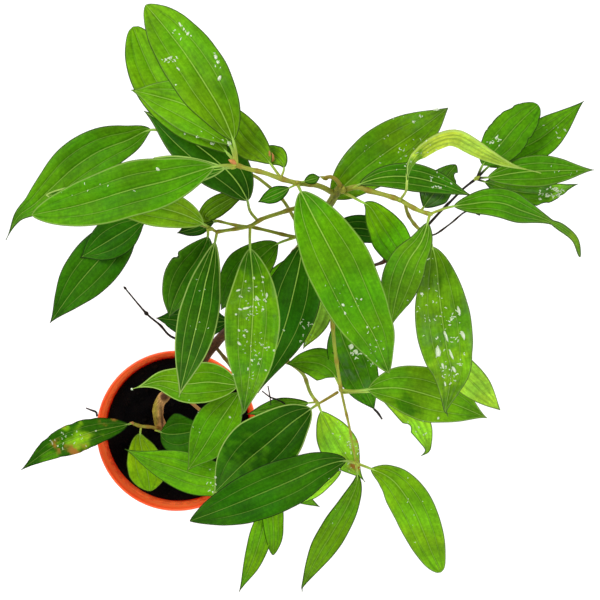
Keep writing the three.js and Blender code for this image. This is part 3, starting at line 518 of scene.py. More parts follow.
# Single water drops: column, row, radius in millimetres, stretch and turn
SINGLE_DROPS = [
    (180, 24, 0.7, 2.6, 55), (184, 29, 0.6, 2.0, 50), (188, 34, 0.8, 1.8, 130), (191, 36, 0.6),
    (166, 60, 0.6, 2.0, 60), (170, 58, 0.7, 2.0, 140), (173, 62, 0.5), (178, 69, 0.6, 2.2, 55),
    (216, 57, 1.0, 1.7, 70), (218, 62, 0.8, 1.5, 60), (220, 78, 1.1, 1.6, 130), (229, 143, 1.2, 1.3, 60),
    (158, 169, 1.0), (176, 85, 0.6), (185, 134, 0.6), (197, 137, 0.6), (212, 144, 0.9, 1.6, 30),
    (343, 305, 0.8, 1.5, 60), (361, 299, 0.7), (367, 327, 0.7), (345, 313, 0.6, 1.8, 60), (254, 278, 0.8),
    (263, 277, 0.7, 1.6, 30), (263, 282, 0.7), (238, 290, 0.8, 1.8, 165), (257, 298, 1.0, 1.8, 60),
    (267, 295, 0.8, 2.0, 100), (266, 301, 0.7), (246, 308, 1.0, 2.6, 172), (240, 309, 0.8, 1.6, 20),
    (256, 307, 0.7), (263, 309, 0.8), (236, 314, 0.7), (252, 360, 0.8, 1.5, 90), (239, 330, 0.9),
    (247, 331, 0.8), (244, 335, 0.8), (239, 343, 0.9, 2.0, 60), (269, 347, 0.8), (274, 350, 0.8),
    (248, 369, 0.7, 2.4, 80), (266, 370, 0.8), (233, 374, 0.7), (230, 417, 0.9), (132, 389, 1.0),
    (216, 477, 1.0, 1.3, 90), (213, 492, 0.9), (216, 484, 0.7, 1.8, 80), (351, 346, 1.7, 1.4, 100),
    (356, 352, 1.7, 1.3, 70), (284, 330, 0.9), (236, 165, 0.5), (438, 352, 1.5, 2.2, 84),
    (446, 336, 0.8, 5.0, 74), (451, 354, 0.9, 4.5, 72), (454, 369, 1.2, 2.0, 75), (443, 366, 0.8, 3.2, 70),
    (445, 384, 0.7, 3.0, 75), (459, 311, 0.9, 3.6, 78), (463, 335, 1.1, 3.0, 80), (422, 294, 0.9, 1.6, 20),
    (436, 110, 0.9, 3.0, -35), (441, 107, 0.8, 2.5, -20), (413, 122, 0.8, 1.5, 30), (548, 196, 0.9, 1.8, -20),
    (540, 199, 0.8, 1.5, 10), (557, 191, 0.8, 2.0, -30), (438, 418, 0.9), (96, 431, 0.8), (58, 446, 0.8),
    (408, 300, 0.6),
]

# Patches of small drops: column, row, half width, half height, count, smallest and largest radius
DROP_PATCHES = [
    (252, 300, 15, 22, 34, 0.2, 0.5), (252, 345, 15, 22, 34, 0.2, 0.5), (256, 380, 8, 20, 8, 0.2, 0.4),
    (374, 345, 11, 24, 18, 0.2, 0.45), (345, 300, 24, 34, 12, 0.18, 0.32), (430, 290, 13, 34, 22, 0.2, 0.45),
    (450, 345, 15, 40, 54, 0.22, 0.6), (420, 320, 6, 24, 10, 0.2, 0.4), (398, 150, 40, 16, 22, 0.18, 0.36),
    (410, 120, 20, 8, 6, 0.2, 0.5), (440, 178, 14, 12, 12, 0.3, 0.6), (182, 32, 10, 10, 8, 0.2, 0.5),
    (170, 60, 8, 7, 8, 0.2, 0.5), (218, 60, 5, 12, 6, 0.2, 0.4), (306, 330, 6, 20, 14, 0.3, 0.6),
    (354, 352, 9, 9, 8, 0.4, 0.8), (345, 430, 17, 20, 22, 0.2, 0.5), (415, 430, 13, 14, 12, 0.25, 0.5),
    (350, 470, 12, 10, 10, 0.25, 0.5), (555, 192, 20, 7, 16, 0.3, 0.7), (560, 172, 26, 6, 6, 0.2, 0.36),
    (212, 480, 5, 14, 6, 0.25, 0.5), (68, 442, 22, 11, 18, 0.25, 0.6), (416, 510, 16, 40, 9, 0.18, 0.34),
    (330, 505, 8, 30, 6, 0.18, 0.32), (206, 140, 18, 10, 6, 0.2, 0.36), (100, 195, 40, 12, 7, 0.18, 0.32),
    (200, 305, 12, 40, 7, 0.18, 0.32), (195, 415, 12, 30, 6, 0.18, 0.32), (494, 142, 8, 5, 10, 0.3, 0.6),
    (556, 130, 14, 10, 9, 0.25, 0.5), (552, 194, 16, 6, 14, 0.4, 0.8), (352, 450, 9, 16, 12, 0.3, 0.65),
    (405, 160, 16, 12, 10, 0.25, 0.5),
]


# ---------------------------------------------------------------- shapes

def outline(leaf, share):
    """How wide a blade is at a share of its length, as a share of its greatest width."""
    if share < leaf.widest:
        return math.sin(math.pi / 2 * share / leaf.widest) ** BASE_ROUNDNESS
    past = (share - leaf.widest) / (1 - leaf.widest)
    return max(0.0, math.cos(math.pi / 2 * past)) ** leaf.tip


def leaf_stations(leaf, shares):
    """Along a leaf: its middle, the direction across and the direction out of its upper face."""
    trail, stalk = leaf.trail, leaf.stalk
    side = Vector((1, 0, 0))
    stations = []
    for share in shares:
        along = stalk * (1 + share) if share < 0 else stalk + share * (trail.length - stalk)
        middle, ahead = trail.at(along)
        level = Vector((ahead.y, -ahead.x, 0))
        if level.length > NEARLY_UPRIGHT:
            side = level.normalized()
        turn = Matrix.Rotation(math.radians(mixed(*leaf.roll, max(0.0, share))), 3, ahead)
        out = side.cross(ahead).normalized()
        stations.append((share, along, middle, turn @ side, turn @ out))
    return stations


def marked(leaf, kind, spot):
    """How much a mark of one kind covers a spot of the view; its edge wanders."""
    most = 0.0
    wander = 1 + 0.9 * uneven(spot.x * 0.13, spot.y * 0.13, 5.0)
    for mark, column, row, radius in leaf.marks:
        if mark == kind:
            away = (spot - Vector((column, row))).length / radius
            most = max(most, 1 - smooth(0.35, 1.0, away * wander))
    return most


def add_blade(bm, leaf, number):
    """One leaf blade, from a grid: arched halves, panels between its three veins, wavy rolled edges."""
    blade, spread, lines = (bm.verts.layers.float_vector[name] for name in ("blade", "spread", "lines"))
    tone = bm.verts.layers.float_color["tone"]
    rows, columns = NARROW_GRID if leaf.width < NARROW_UNDER else BLADE_GRID
    shares = [s - ROW_CROWDING * math.sin(2 * math.pi * s) for s in (i / rows for i in range(rows + 1))]
    stations = leaf_stations(leaf, shares)
    slope = math.tan(math.radians(leaf.fold))
    draw = random.Random(number)
    tint = Vector([draw.uniform(*span) for span in TINT_SPANS])
    body = Vector([a * b for a, b in zip(TONES[leaf.tone], tint)])
    patches = [kind for kind in dict.fromkeys(mark[0] for mark in leaf.marks) if kind in TONES]
    for vert in bmesh.ops.create_grid(bm, x_segments=columns, y_segments=rows, size=1)["verts"]:
        u = vert.co.x
        share, along, middle, across, out = stations[round((vert.co.y + 1) / 2 * rows)]
        hand = 1 if u > 0 else -1
        edge = abs(u)
        half = max(LEAST_HALF_WIDTH, leaf.width / 2 * outline(leaf, share))
        half = max(half, leaf.tail * smooth(0.5, 0.7, share) * math.sqrt(max(0.0, 1 - share**6)))
        wander = uneven(share * 6, hand * 3.1, number * 1.7)
        tear = max(0.0, uneven(share * 17, hand * 5.3, number * 2.9) - 0.05)
        reach = half * (1 + MARGIN_WANDER * wander) * (1 - 1.8 * leaf.ragged * tear)
        full = min(1.0, half / FULLY_BENT_FROM)
        step = 1.5 * share + (0.3 if u < 0 else 0)
        lift = half * edge * slope + MARGIN_WAVE * math.sin(2 * math.pi * step) * edge**2 * full
        lift += PANEL_ARCH * half * abs(math.sin(2 * math.pi * u)) * smooth(0, 0.12, share)
        lift -= MARGIN_ROLL * smooth(0.84, 1.05, edge) * full
        lift += BUCKLE * uneven(u * 1.6, along * 0.055, number * 4.1) * full * edge
        lift += CRINKLE * uneven(u * 4, along * 0.22, number * 1.3) * full
        point = middle + across * (reach * u + leaf.hook * smooth(0.94, 1.0, share) ** 2) + out * lift
        spot = seen(point)
        for column, row, radius, depth in leaf.bites:
            near = 1 - min(1.0, (spot - Vector((column, row))).length / radius) ** 2
            point -= across * (reach * u * depth * near * edge)
        colour = mixed(body * BASE_SHADE, body, smooth(0, 0.25, share))
        # Tone patches: some paint shade, some paint light, and others are the leaf's own colour
        for kind in patches:
            colour = mixed(colour, TONES[kind], marked(leaf, kind, spot))
        vert.co = point * MM
        vert[blade] = Vector((reach * u, along, max(0.3, reach)))
        vert[spread] = Vector((share, min(1.0, leaf.wet + marked(leaf, "wet", spot)),
                               marked(leaf, "rust", spot)))
        vert[lines] = Vector((leaf.pale if leaf.veins is None else leaf.veins, leaf.pale, 0))
        vert[tone] = (*colour, 1.0)


def add_rod(bm, stations, sides, swell=None, paint=None):
    """A round rod through stations of centre, radius and tone, from a grid with its seam and ends closed."""
    grain, tone = bm.verts.layers.float_vector["grain"], bm.verts.layers.float_color["tone"]
    last = len(stations) - 1
    centres = [centre for centre, _, _ in stations]
    normal, rings, gone = None, [], 0.0
    for i, (centre, radius, colour) in enumerate(stations):
        ahead = (centres[min(i + 1, last)] - centres[max(i - 1, 0)]).normalized()
        start = normal or (Vector((0, 0, 1)) if abs(ahead.z) < 0.9 else Vector((1, 0, 0)))
        normal = (start - ahead * start.dot(ahead)).normalized()
        gone += (centre - centres[i - 1]).length if i else 0.0
        rings.append((centre, normal.copy(), ahead.cross(normal), radius, colour, gone))
    verts = bmesh.ops.create_grid(bm, x_segments=sides, y_segments=last, size=1)["verts"]
    for vert in verts:
        centre, normal, beside, radius, colour, along = rings[round((vert.co.y + 1) / 2 * last)]
        angle = 2 * math.pi * (round((vert.co.x + 1) / 2 * sides) % sides) / sides
        facing = normal * math.cos(angle) + beside * math.sin(angle)
        if swell:
            radius *= swell(along, angle)
        point = centre + facing * radius
        vert.co = point * MM
        vert[grain] = Vector((math.cos(angle) * radius, math.sin(angle) * radius, along))
        vert[tone] = (*(paint(point) if paint else colour), 1.0)
    bmesh.ops.remove_doubles(bm, verts=verts, dist=1e-7)
    ends = {e for v in verts if v.is_valid for e in v.link_edges if e.is_boundary}
    bmesh.ops.holes_fill(bm, edges=list(ends), sides=0)


def add_twig(bm, path, start, end, tones, sides, spacing, seed, knots):
    """A twig along a path from one radius to another, with faint knots and a slightly uneven skin."""
    trail = Trail(path)
    count = max(6, round(trail.length / spacing))
    stations = []
    for i in range(count + 1):
        share = i / count
        radius = mixed(start, end, share) * (1 + TWIG_RIPPLE * uneven(share * trail.length * 0.12, seed, 3.0))
        colour = mixed(*tones, share)
        for knot in knots:
            near = math.exp(-(((share - knot) * trail.length) / TWIG_KNOT_LENGTH) ** 2)
            radius *= 1 + TWIG_KNOT * near
            colour = mixed(colour, Vector((colour.x * 0.9, colour.y * 0.6, colour.z * 0.6)), near)
        stations.append((trail.at(share * trail.length)[0], radius, colour))
    add_rod(bm, stations, sides)


def add_stalk(bm, leaf, skin):
    """A leaf's stalk and its middle vein, which runs on under the blade and thins out."""
    stout = min(1.0, 0.55 + leaf.width / 60)
    shares = [-1 + i / 8 for i in range(8)] + [i / 26 * 0.86 for i in range(27)]
    stations = []
    green = mixed(TONES[leaf.tone], PALE, 0.45)
    for share, _, middle, _, out in leaf_stations(leaf, shares):
        if share < 0:
            radius = stout * mixed(0.95, 0.78, 1 + share)
        else:
            radius = stout * mixed(0.76, 0.16, smooth(-0.1, 0.8, share))
            middle = middle - out * (radius * smooth(0, 0.06, share) * 0.85)
        stations.append((middle, radius, mixed(skin, green, smooth(-0.7, 0.15, share))))
    add_rod(bm, stations, STALK_SIDES)


def add_bud(bm, at, toward, length, radius, colour):
    """A small pointed bud of scales, as a stretched ball."""
    grain, tone = bm.verts.layers.float_vector["grain"], bm.verts.layers.float_color["tone"]
    turn = Vector(toward).to_track_quat("Z", "Y").to_matrix()
    for vert in bmesh.ops.create_uvsphere(bm, u_segments=8, v_segments=6, radius=1)["verts"]:
        narrow = 1 - 0.45 * smooth(-0.2, 1, vert.co.z)
        shape = Vector((vert.co.x * radius * narrow, vert.co.y * radius * narrow, vert.co.z * length / 2))
        vert.co = (at + turn @ shape) * MM
        vert[grain] = shape
        vert[tone] = (*colour, 1.0)


def new_bmesh(*attributes):
    """A bmesh whose points know their tone and the given vectors."""
    bm = bmesh.new()
    for attribute in attributes:
        bm.verts.layers.float_vector.new(attribute)
    bm.verts.layers.float_color.new("tone")
    return bm


def mesh_from(name, bm):
    """A bmesh as a mesh; the bmesh is used up."""
    mesh = bpy.data.meshes.new(name)
    bm.to_mesh(mesh)
    bm.free()
    return mesh


def in_scene(name, data):
    thing = bpy.data.objects.new(name, data)
    bpy.context.scene.collection.objects.link(thing)
    return thing


def piece(name, bm, materials, nodes=(), sharp=None):
    """A finished bmesh as a piece of the plant, smoothly shaded, riding on the one body."""
    for edge in bm.edges:
        edge.smooth = not edge.is_boundary
    mesh = mesh_from(name, bm)
    for polygon in mesh.polygons:
        polygon.use_smooth = True
    if sharp:
        mesh.set_sharp_from_angle(angle=math.radians(sharp))
    for material in materials:
        mesh.materials.append(material)
    thing = in_scene(name, mesh)
    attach(thing, "root")
    if nodes:
        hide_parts(*nodes)
    return thing


# ---------------------------------------------------------------- finishes

class Wire:
    """What a node passes on. A sum, a difference or a product of wires is a new node's wire."""

    def __init__(self, socket):
        self.socket, self.tree = socket, socket.id_data

    def __add__(self, other):
        return calc("ADD", self, other)

    def __sub__(self, other):
        return calc("SUBTRACT", self, other)

    def __mul__(self, other):
        return calc("MULTIPLY", self, other)


def plug(value, socket):
    """Feeds a socket from a wire, or sets it to a number, some numbers or, as a Vector, a colour."""
    if isinstance(value, Wire):
        value.tree.links.new(value.socket, socket)
    else:
        socket.default_value = (*value, 1.0) if isinstance(value, Vector) else value


def add_node(tree, kind, values=None, out=0, **fields):
    """A new node with its fields set and its inputs fed, as the wire from one of its outputs."""
    made = tree.nodes.new("ShaderNode" + kind)
    for field, value in fields.items():
        setattr(made, field, value)
    for name, value in (values or {}).items():
        plug(value, made.inputs[name])
    return Wire(made.outputs[out])


def every_wire(wire):
    """The wires from all outputs of a wire's node, by name."""
    return {socket.name: Wire(socket) for socket in wire.socket.node.outputs}


def calc(operation, *values):
    return add_node(values[0].tree, "Math", dict(enumerate(values)), operation=operation)


def split(wire):
    """The three numbers of a vector."""
    return every_wire(add_node(wire.tree, "SeparateXYZ", {0: wire})).values()


def stretched(wire, by):
    """A vector times another, number by number."""
    return add_node(wire.tree, "VectorMath", {0: wire, 1: by}, operation="MULTIPLY")


def ramp(value, low, high, at_low=0.0, at_high=1.0):
    """A value taken smoothly from one range to another."""
    return add_node(value.tree, "MapRange", {0: value, 1: low, 2: high, 3: at_low, 4: at_high},
                    interpolation_type="SMOOTHSTEP")


def blended(factor, a, b, how="MIX"):
    """One colour where the factor is 0 and another where it is 1."""
    tree = next(value.tree for value in (factor, a, b) if isinstance(value, Wire))
    return add_node(tree, "Mix", {0: factor, 6: a, 7: b}, 2, data_type="RGBA", blend_type=how)


def tinted(colour, by):
    """A colour times a grey value or another colour."""
    return blended(1.0, colour, by, "MULTIPLY")


def speckle(where, scale, detail=3.0, roughness=0.55):
    return add_node(where.tree, "TexNoise",
                    {"Vector": where, "Scale": scale, "Detail": detail, "Roughness": roughness})


def new_group(name, inputs):
    """A node group and the wires from its inputs: numbers with a usual value, or vectors."""
    tree = bpy.data.node_groups.new(name, "ShaderNodeTree")
    for label, usual in inputs.items():
        kind = "NodeSocketVector" if usual is None else "NodeSocketFloat"
        socket = tree.interface.new_socket(label, in_out="INPUT", socket_type=kind)
        if usual is not None:
            socket.default_value = usual
    return tree, {socket.name: Wire(socket) for socket in tree.nodes.new("NodeGroupInput").outputs}


def close_group(tree, results):
    """Feeds a group's results, all of them numbers, to named outputs."""
    for label in results:
        tree.interface.new_socket(label, in_out="OUTPUT", socket_type="NodeSocketFloat")
    outputs = tree.nodes.new("NodeGroupOutput").inputs
    for label, wire in results.items():
        plug(wire, outputs[label])
    return tree


def use_group(tree, group, values):
    return every_wire(add_node(tree, "Group", values, node_tree=group))


def make_vein_group():
    """Three long veins and the fine rungs between them, from a place on the blade in millimetres."""
    tree, given = new_group("leaf_veins", {"Blade": None, "Spread": None})
    across, along, reach = split(given["Blade"])
    share, _, _ = split(given["Spread"])
    aside = calc("ABSOLUTE", across)
    rib_far = aside - ramp(share, 0.0, 1.0, 0.24, 0.08)
    lateral_far = calc("ABSOLUTE", aside - reach * 0.5)
    lateral = ramp(lateral_far, 0.06, 0.34, 1.0, 0.0) * ramp(share, 0.62, 0.93, 1.0, 0.0)
    veins = calc("MAXIMUM", ramp(rib_far, 0.0, 0.25, 1.0, 0.0), lateral * 0.65)
    # The strip beside the veins: the bump sinks it, and the leaf's colour darkens it as painted shade
    beside = ramp(calc("MINIMUM", rib_far, lateral_far), 0.15, 1.1, 1.0, 0.0)
    streaks = speckle(stretched(given["Blade"], (0.8, 0.055, 0.0)), 1.0, 3.0, 0.6)
    phase = along * 1.25 + aside * -0.5 + speckle(given["Blade"], 0.16, 2.0) * 9.0
    rungs = ramp(calc("SINE", phase + calc("GREATER_THAN", across, 0.0) * 2.1), 0.55, 1.0)
    edge = reach - aside
    groove = calc("MAXIMUM", veins, beside * 0.45) * -1.0
    return close_group(tree, {
        "Veins": veins, "Beside": beside, "Margin": ramp(edge, 0.3, 1.0, 1.0, 0.0),
        "Inner Margin": ramp(edge, 0.0, 0.3) * ramp(edge, 0.5, 1.15, 1.0, 0.0),
        "Streaks": streaks, "Rungs": rungs, "Height": groove + rungs * -0.16 + streaks * 0.5,
    })


def make_bark_group():
    """Grain that runs along a twig or the stem, with pits and paler scars."""
    tree, given = new_group("bark_grain", {"Grain": None, "Fineness": 1.0, "Stretch": 0.15})
    squeeze = add_node(tree, "CombineXYZ", {0: 1.0, 1: 1.0, 2: given["Stretch"]})
    streaks = speckle(stretched(given["Grain"], squeeze), given["Fineness"], 5.0, 0.65)
    scars = ramp(speckle(given["Grain"], 0.35, 2.0), 0.56, 0.7)
    return close_group(tree, {"Streaks": streaks, "Scars": scars, "Height": streaks + scars * -0.4})


def make_mottle_group():
    """Soft cloudy changes over a surface, from its place in metres."""
    tree, given = new_group("mottle", {"Place": None, "Scale": 40.0, "Low": 0.8, "High": 1.2})
    cloud = speckle(given["Place"], given["Scale"], 4.0, 0.6)
    return close_group(tree, {"Value": ramp(cloud, 0.3, 0.7, given["Low"], given["High"])})


mottle_group = make_mottle_group()
vein_group = make_vein_group()
bark_group = make_bark_group()


def mottled(where, scale, low=0.0, high=1.0):
    values = {"Place": where, "Scale": scale, "Low": low, "High": high}
    return use_group(where.tree, mottle_group, values)["Value"]


def attribute(tree, name, out="Vector"):
    return add_node(tree, "Attribute", out=out, attribute_name=name)


def new_material(name):
    material = bpy.data.materials.new(name)
    material.use_nodes = True
    return material, material.node_tree


def new_placed_material(name):
    """A material, and a wire that tells the place on its piece, in metres."""
    material, tree = new_material(name)
    return material, add_node(tree, "TexCoord", out="Object")


def finish(material, colour, roughness, bump=None, **others):
    """Feeds a material's shader. A bump is a height, its strength and its depth in millimetres."""
    tree = material.node_tree
    if bump:
        height, strength, depth = bump
        others["Normal"] = add_node(tree, "Bump",
                                    {"Height": height, "Strength": strength, "Distance": depth * MM})
    shader = next(node for node in tree.nodes if node.type == "BSDF_PRINCIPLED")
    for name, value in {"Base Color": colour, "Roughness": roughness, **others}.items():
        plug(value, shader.inputs[name.replace("_", " ")])
    return material


def leaf_finish(name, underside=False):
    """The face or the back of the leaves, from what each blade knows of its tone, veins and marks."""
    material, where = new_placed_material(name)
    tree = where.tree
    tone, spread = attribute(tree, "tone", "Color"), attribute(tree, "spread")
    parts = use_group(tree, vein_group, {"Blade": attribute(tree, "blade"), "Spread": spread})
    _, wet, rusty = split(spread)
    cloud, fine = mottled(where, 42.0, 0.74, 1.2), mottled(where, 480.0, 0.86, 1.12)
    streaks = ramp(parts["Streaks"], 0.3, 0.7, 0.86, 1.12)
    rungs = ramp(parts["Rungs"], 0.0, 1.0, 0.98, 1.04)
    colour = tinted(tone, cloud * fine * (streaks * rungs))
    colour = tinted(colour, blended(ramp(speckle(where, 26.0), 0.35, 0.65), COOL, WARM))
    if underside:
        colour = blended(parts["Veins"] * 0.7, blended(0.42, colour, BACK_GREEN), BACK_VEIN)
        rough = ramp(fine, 0.86, 1.12, 0.52, 0.66)
        return finish(material, colour, rough, (parts["Height"] * -1.0, 0.35, 0.5))
    clear, pale, _ = split(attribute(tree, "lines"))
    # Painted shade in the grooves beside the veins
    colour = blended(parts["Beside"] * 0.5, colour, tinted(colour, VEIN_GROOVE_SHADE))
    colour = blended(parts["Veins"] * ramp(clear, 0.0, 1.0, 0.34, 0.9), colour, VEIN)
    colour = blended(parts["Inner Margin"] * pale * 0.8, colour, PALE)
    # Painted shade: a dark line along the rim of each blade
    rim = parts["Margin"] * ramp(pale, 0.0, 1.0, 0.95, 0.25)
    colour = blended(rim, colour, tinted(tone, LEAF_RIM_SHADE))
    colour = blended(rusty * ramp(speckle(where, 120.0, 4.0), 0.42, 0.6), colour, RUST)
    film = wet * ramp(speckle(where, 90.0), 0.45, 0.6)
    colour = blended(film * 0.5, colour, tinted(colour, WET_LEAF))
    rough = ramp(parts["Streaks"], 0.3, 0.7, 0.48, 0.58) - film * 0.22
    return finish(material, colour, rough, (parts["Height"] + fine * 0.35, 0.55, 0.5),
                  Coat_Weight=film * 0.25, Coat_Roughness=0.12, Specular_IOR_Level=0.05)


def edge_finish():
    """The cut edge of a blade, painted much darker than its face: painted shade that outlines each leaf."""
    material, where = new_placed_material("leaf_edge_painted_shade")
    colour = tinted(attribute(where.tree, "tone", "Color"), mottled(where, 120.0, 0.2, 0.36))
    return finish(material, colour, 0.8, Specular_IOR_Level=0.05)


def bark_finish(name, scar, fineness, stretch, contrast, rough, strength):
    """The skin of a twig or the stem, in its own tones, with scars of one colour."""
    material, tree = new_material(name)
    parts = use_group(tree, bark_group, {"Grain": attribute(tree, "grain"), "Fineness": fineness,
                                         "Stretch": stretch})
    light = ramp(parts["Streaks"], 0.3, 0.7, 1 - contrast, 1 + contrast)
    colour = tinted(attribute(tree, "tone", "Color"), light)
    colour = blended(parts["Scars"] * contrast, colour, blended(0.4, colour, scar))
    return finish(material, colour, ramp(parts["Streaks"], 0.3, 0.7, rough - 0.08, rough + 0.08),
                  (parts["Height"], strength, 0.6), Specular_IOR_Level=0.2)


def pot_finish():
    """Orange plastic, thin at its band. Painted light: the band glows in its own colour, standing in for
    daylight coming through the wall, and the inner wall of the band, which lies in shade, is painted lighter.
    """
    material, where = new_placed_material("orange_pot_plastic")
    x, y, z = split(where)
    away = calc("SQRT", calc("POWER", x, 2.0) + calc("POWER", y, 2.0))
    cloud, fine = mottled(where, 30.0), mottled(where, 260.0)
    colour = blended(fine * 0.2, blended(cloud, POT_DEEP, POT_BRIGHT), POT_WORN)
    inside = ramp(away, 61.8 * MM, 63.2 * MM, 1.0, 0.0) * ramp(z, 98.5 * MM, 100.5 * MM)
    # Painted light on the inner wall of the band, which lies in shade
    colour = blended(inside, colour, POT_INSIDE_PAINTED_LIGHT)
    # Darker in patches on the inner wall just above the soil
    low = ramp(z, 98.5 * MM, 100 * MM) * ramp(z, 102 * MM, 108 * MM, 1.0, 0.0)
    near_soil_dark = inside * low * ramp(fine, 0.2, 0.7, 0.2, 1.0)
    colour = blended(near_soil_dark * 0.3, colour, POT_NEAR_SOIL_DARK)
    dust = ramp(z, 0.0, 30 * MM, 1.0, 0.0) * cloud
    colour = blended(dust * 0.3, colour, POT_DUST)
    mould_rings = calc("SINE", z * 3900.0)
    # Painted light: the band glows in its own colour, standing in for daylight coming through the thin wall
    band = ramp(z, 100 * MM, 107 * MM)
    return finish(material, colour, ramp(cloud, 0.0, 1.0, 0.42, 0.58),
                  (fine * 0.6 + mould_rings * 0.12, 0.1, 0.4),
                  Subsurface_Weight=0.7, Subsurface_Radius=(1.0, 0.3, 0.12), Subsurface_Scale=0.012,
                  Emission_Strength=0.25, Emission_Color=blended(band, BLACK, colour))


def soil_finish(name, dark, light):
    material, where = new_placed_material(name)
    cloud, fine = mottled(where, 90.0), mottled(where, 700.0)
    return finish(material, blended(cloud * fine, dark, light), ramp(fine, 0.0, 1.0, 0.85, 1.0),
                  (fine + cloud, 0.8, 1.2), Specular_IOR_Level=0.08)


def water_finish():
    material, where = new_placed_material("water_drop")
    # The water is painted near white: a painted glint, so that the drops show as bright specks
    return finish(material, WATER_PAINTED_GLINT, ramp(speckle(where, 300.0), 0.3, 0.7, 0.1, 0.17),
                  Transmission_Weight=0.25, IOR=1.4, Coat_Weight=1.0, Coat_Roughness=0.12)


def floor_finish():
    """A floor that shines slightly, so that it is as white as the ground of the view."""
    material, where = new_placed_material("pale_floor")
    return finish(material, tinted(FLOOR_GREY, mottled(where, 3.0, 0.985, 1.0)), 0.9,
                  Emission_Color=WHITE, Emission_Strength=0.86)


leaf_upper = leaf_finish("glossy_leaf_face")
leaf_under = leaf_finish("dull_leaf_back", underside=True)
leaf_edge = edge_finish()
green_twig = bark_finish("green_twig_skin", TWIG_OLIVE, 1.6, 0.12, 0.22, 0.5, 0.3)
stem_bark = bark_finish("brown_stem_bark", BARK_SCAR, 0.9, 0.2, 0.5, 0.72, 0.8)
dead_bark = bark_finish("dead_twig_bark", BARK_SCAR, 1.4, 0.15, 0.45, 0.85, 0.7)
pot_plastic = pot_finish()
soil_dark = soil_finish("dark_moist_soil", SOIL_DARK, SOIL_LIGHT)
crumb_brown = soil_finish("soil_crumb", CRUMB_DARK, CRUMB_LIGHT)
water = water_finish()


# ---------------------------------------------------------------- the pot and its soil

def turned(profile, steps):
    """A closed body of revolution round the upright axis, from a profile of radius and height."""
    bm = bmesh.new()
    verts = [bm.verts.new((r * MM, 0, z * MM)) for r, z in profile]
    edges = [bm.edges.new(pair) for pair in zip(verts, verts[1:])]
    bmesh.ops.spin(bm, geom=verts + edges, cent=(0, 0, 0), axis=(0, 0, 1), angle=2 * math.pi,
                   steps=steps, use_merge=True, use_duplicate=False)
    bmesh.ops.remove_doubles(bm, verts=bm.verts, dist=1e-6)
    bmesh.ops.recalc_face_normals(bm, faces=bm.faces)
    return bm


def rounded(corners):
    """A profile with each corner rounded by its own radius."""
    points = []
    for i, (r, z, radius) in enumerate(corners):
        here = Vector((r, z))
        if not radius:
            points.append(here)
            continue
        before = (Vector(corners[i - 1][:2]) - here).normalized() * radius
        after = (Vector(corners[i + 1][:2]) - here).normalized() * radius
        for k in range(ROUNDING_STEPS + 1):
            s = k / ROUNDING_STEPS
            points.append(here + before * (1 - s) ** 2 + after * s**2)
    return points


def make_pot():
    """The pot: a turned wall with a rolled band, and drain holes cut through its floor."""
    corners = [
        (0, 0, 0), (BASE_RADIUS, 0, 1.6), (SHOULDER_RADIUS - 1.2, BAND_FOOT, 0.6),
        (RIM_RADIUS - 0.8, BAND_FOOT + 0.8, 0.6), (RIM_RADIUS, POT_HEIGHT, 0.9),
        (RIM_RADIUS - WALL, POT_HEIGHT, 0.7), (RIM_RADIUS - 3.2, BAND_FOOT + 3, 1.0),
        (SHOULDER_RADIUS - WALL - 1.6, BAND_FOOT - 1, 1.0), (BASE_RADIUS - WALL, FLOOR_THICKNESS, 1.2),
        (0, FLOOR_THICKNESS, 0),
    ]
    bm = turned(rounded(corners), POT_STEPS)
    pot = piece("nursery_pot", bm, [pot_plastic], ["pot"], sharp=40)
    drills = bmesh.new()
    for i in range(DRAIN_HOLES):
        angle = 2 * math.pi * (i + 0.5) / DRAIN_HOLES
        at = Vector((math.cos(angle), math.sin(angle), 0)) * DRAIN_CIRCLE_RADIUS * MM
        radius = DRAIN_HOLE_RADIUS * MM
        bmesh.ops.create_cone(drills, cap_ends=True, segments=28, radius1=radius, radius2=radius,
                              depth=4 * FLOOR_THICKNESS * MM, matrix=Matrix.Translation(at))
    cutter = in_scene("drills", mesh_from("drills", drills))
    cut = pot.modifiers.new("drain_holes", "BOOLEAN")
    cut.object, cut.operation, cut.solver = cutter, "DIFFERENCE", "EXACT"
    bpy.context.view_layer.update()
    finished = bpy.data.meshes.new_from_object(pot.evaluated_get(bpy.context.evaluated_depsgraph_get()))
    pot.modifiers.clear()
    pot.data = finished
    bpy.data.objects.remove(cutter)


def soil_top(x, y):
    """The height of the soil, which is level near the pot's wall."""
    lump = math.sin(x * 0.31 + 1.3) * math.cos(y * 0.27) + 0.6 * math.sin(x * 0.17 - y * 0.38)
    rough = uneven(x * 0.16, y * 0.16, 2.0) + 0.6 * uneven(x * 0.5, y * 0.5, 7.0)
    lively = 1 - smooth(SOIL_LEVEL_FROM, SOIL_LEVEL_AT, math.hypot(x, y))
    return SOIL_HEIGHT + (SOIL_LUMPS * lump + SOIL_GRAIN * rough) * lively


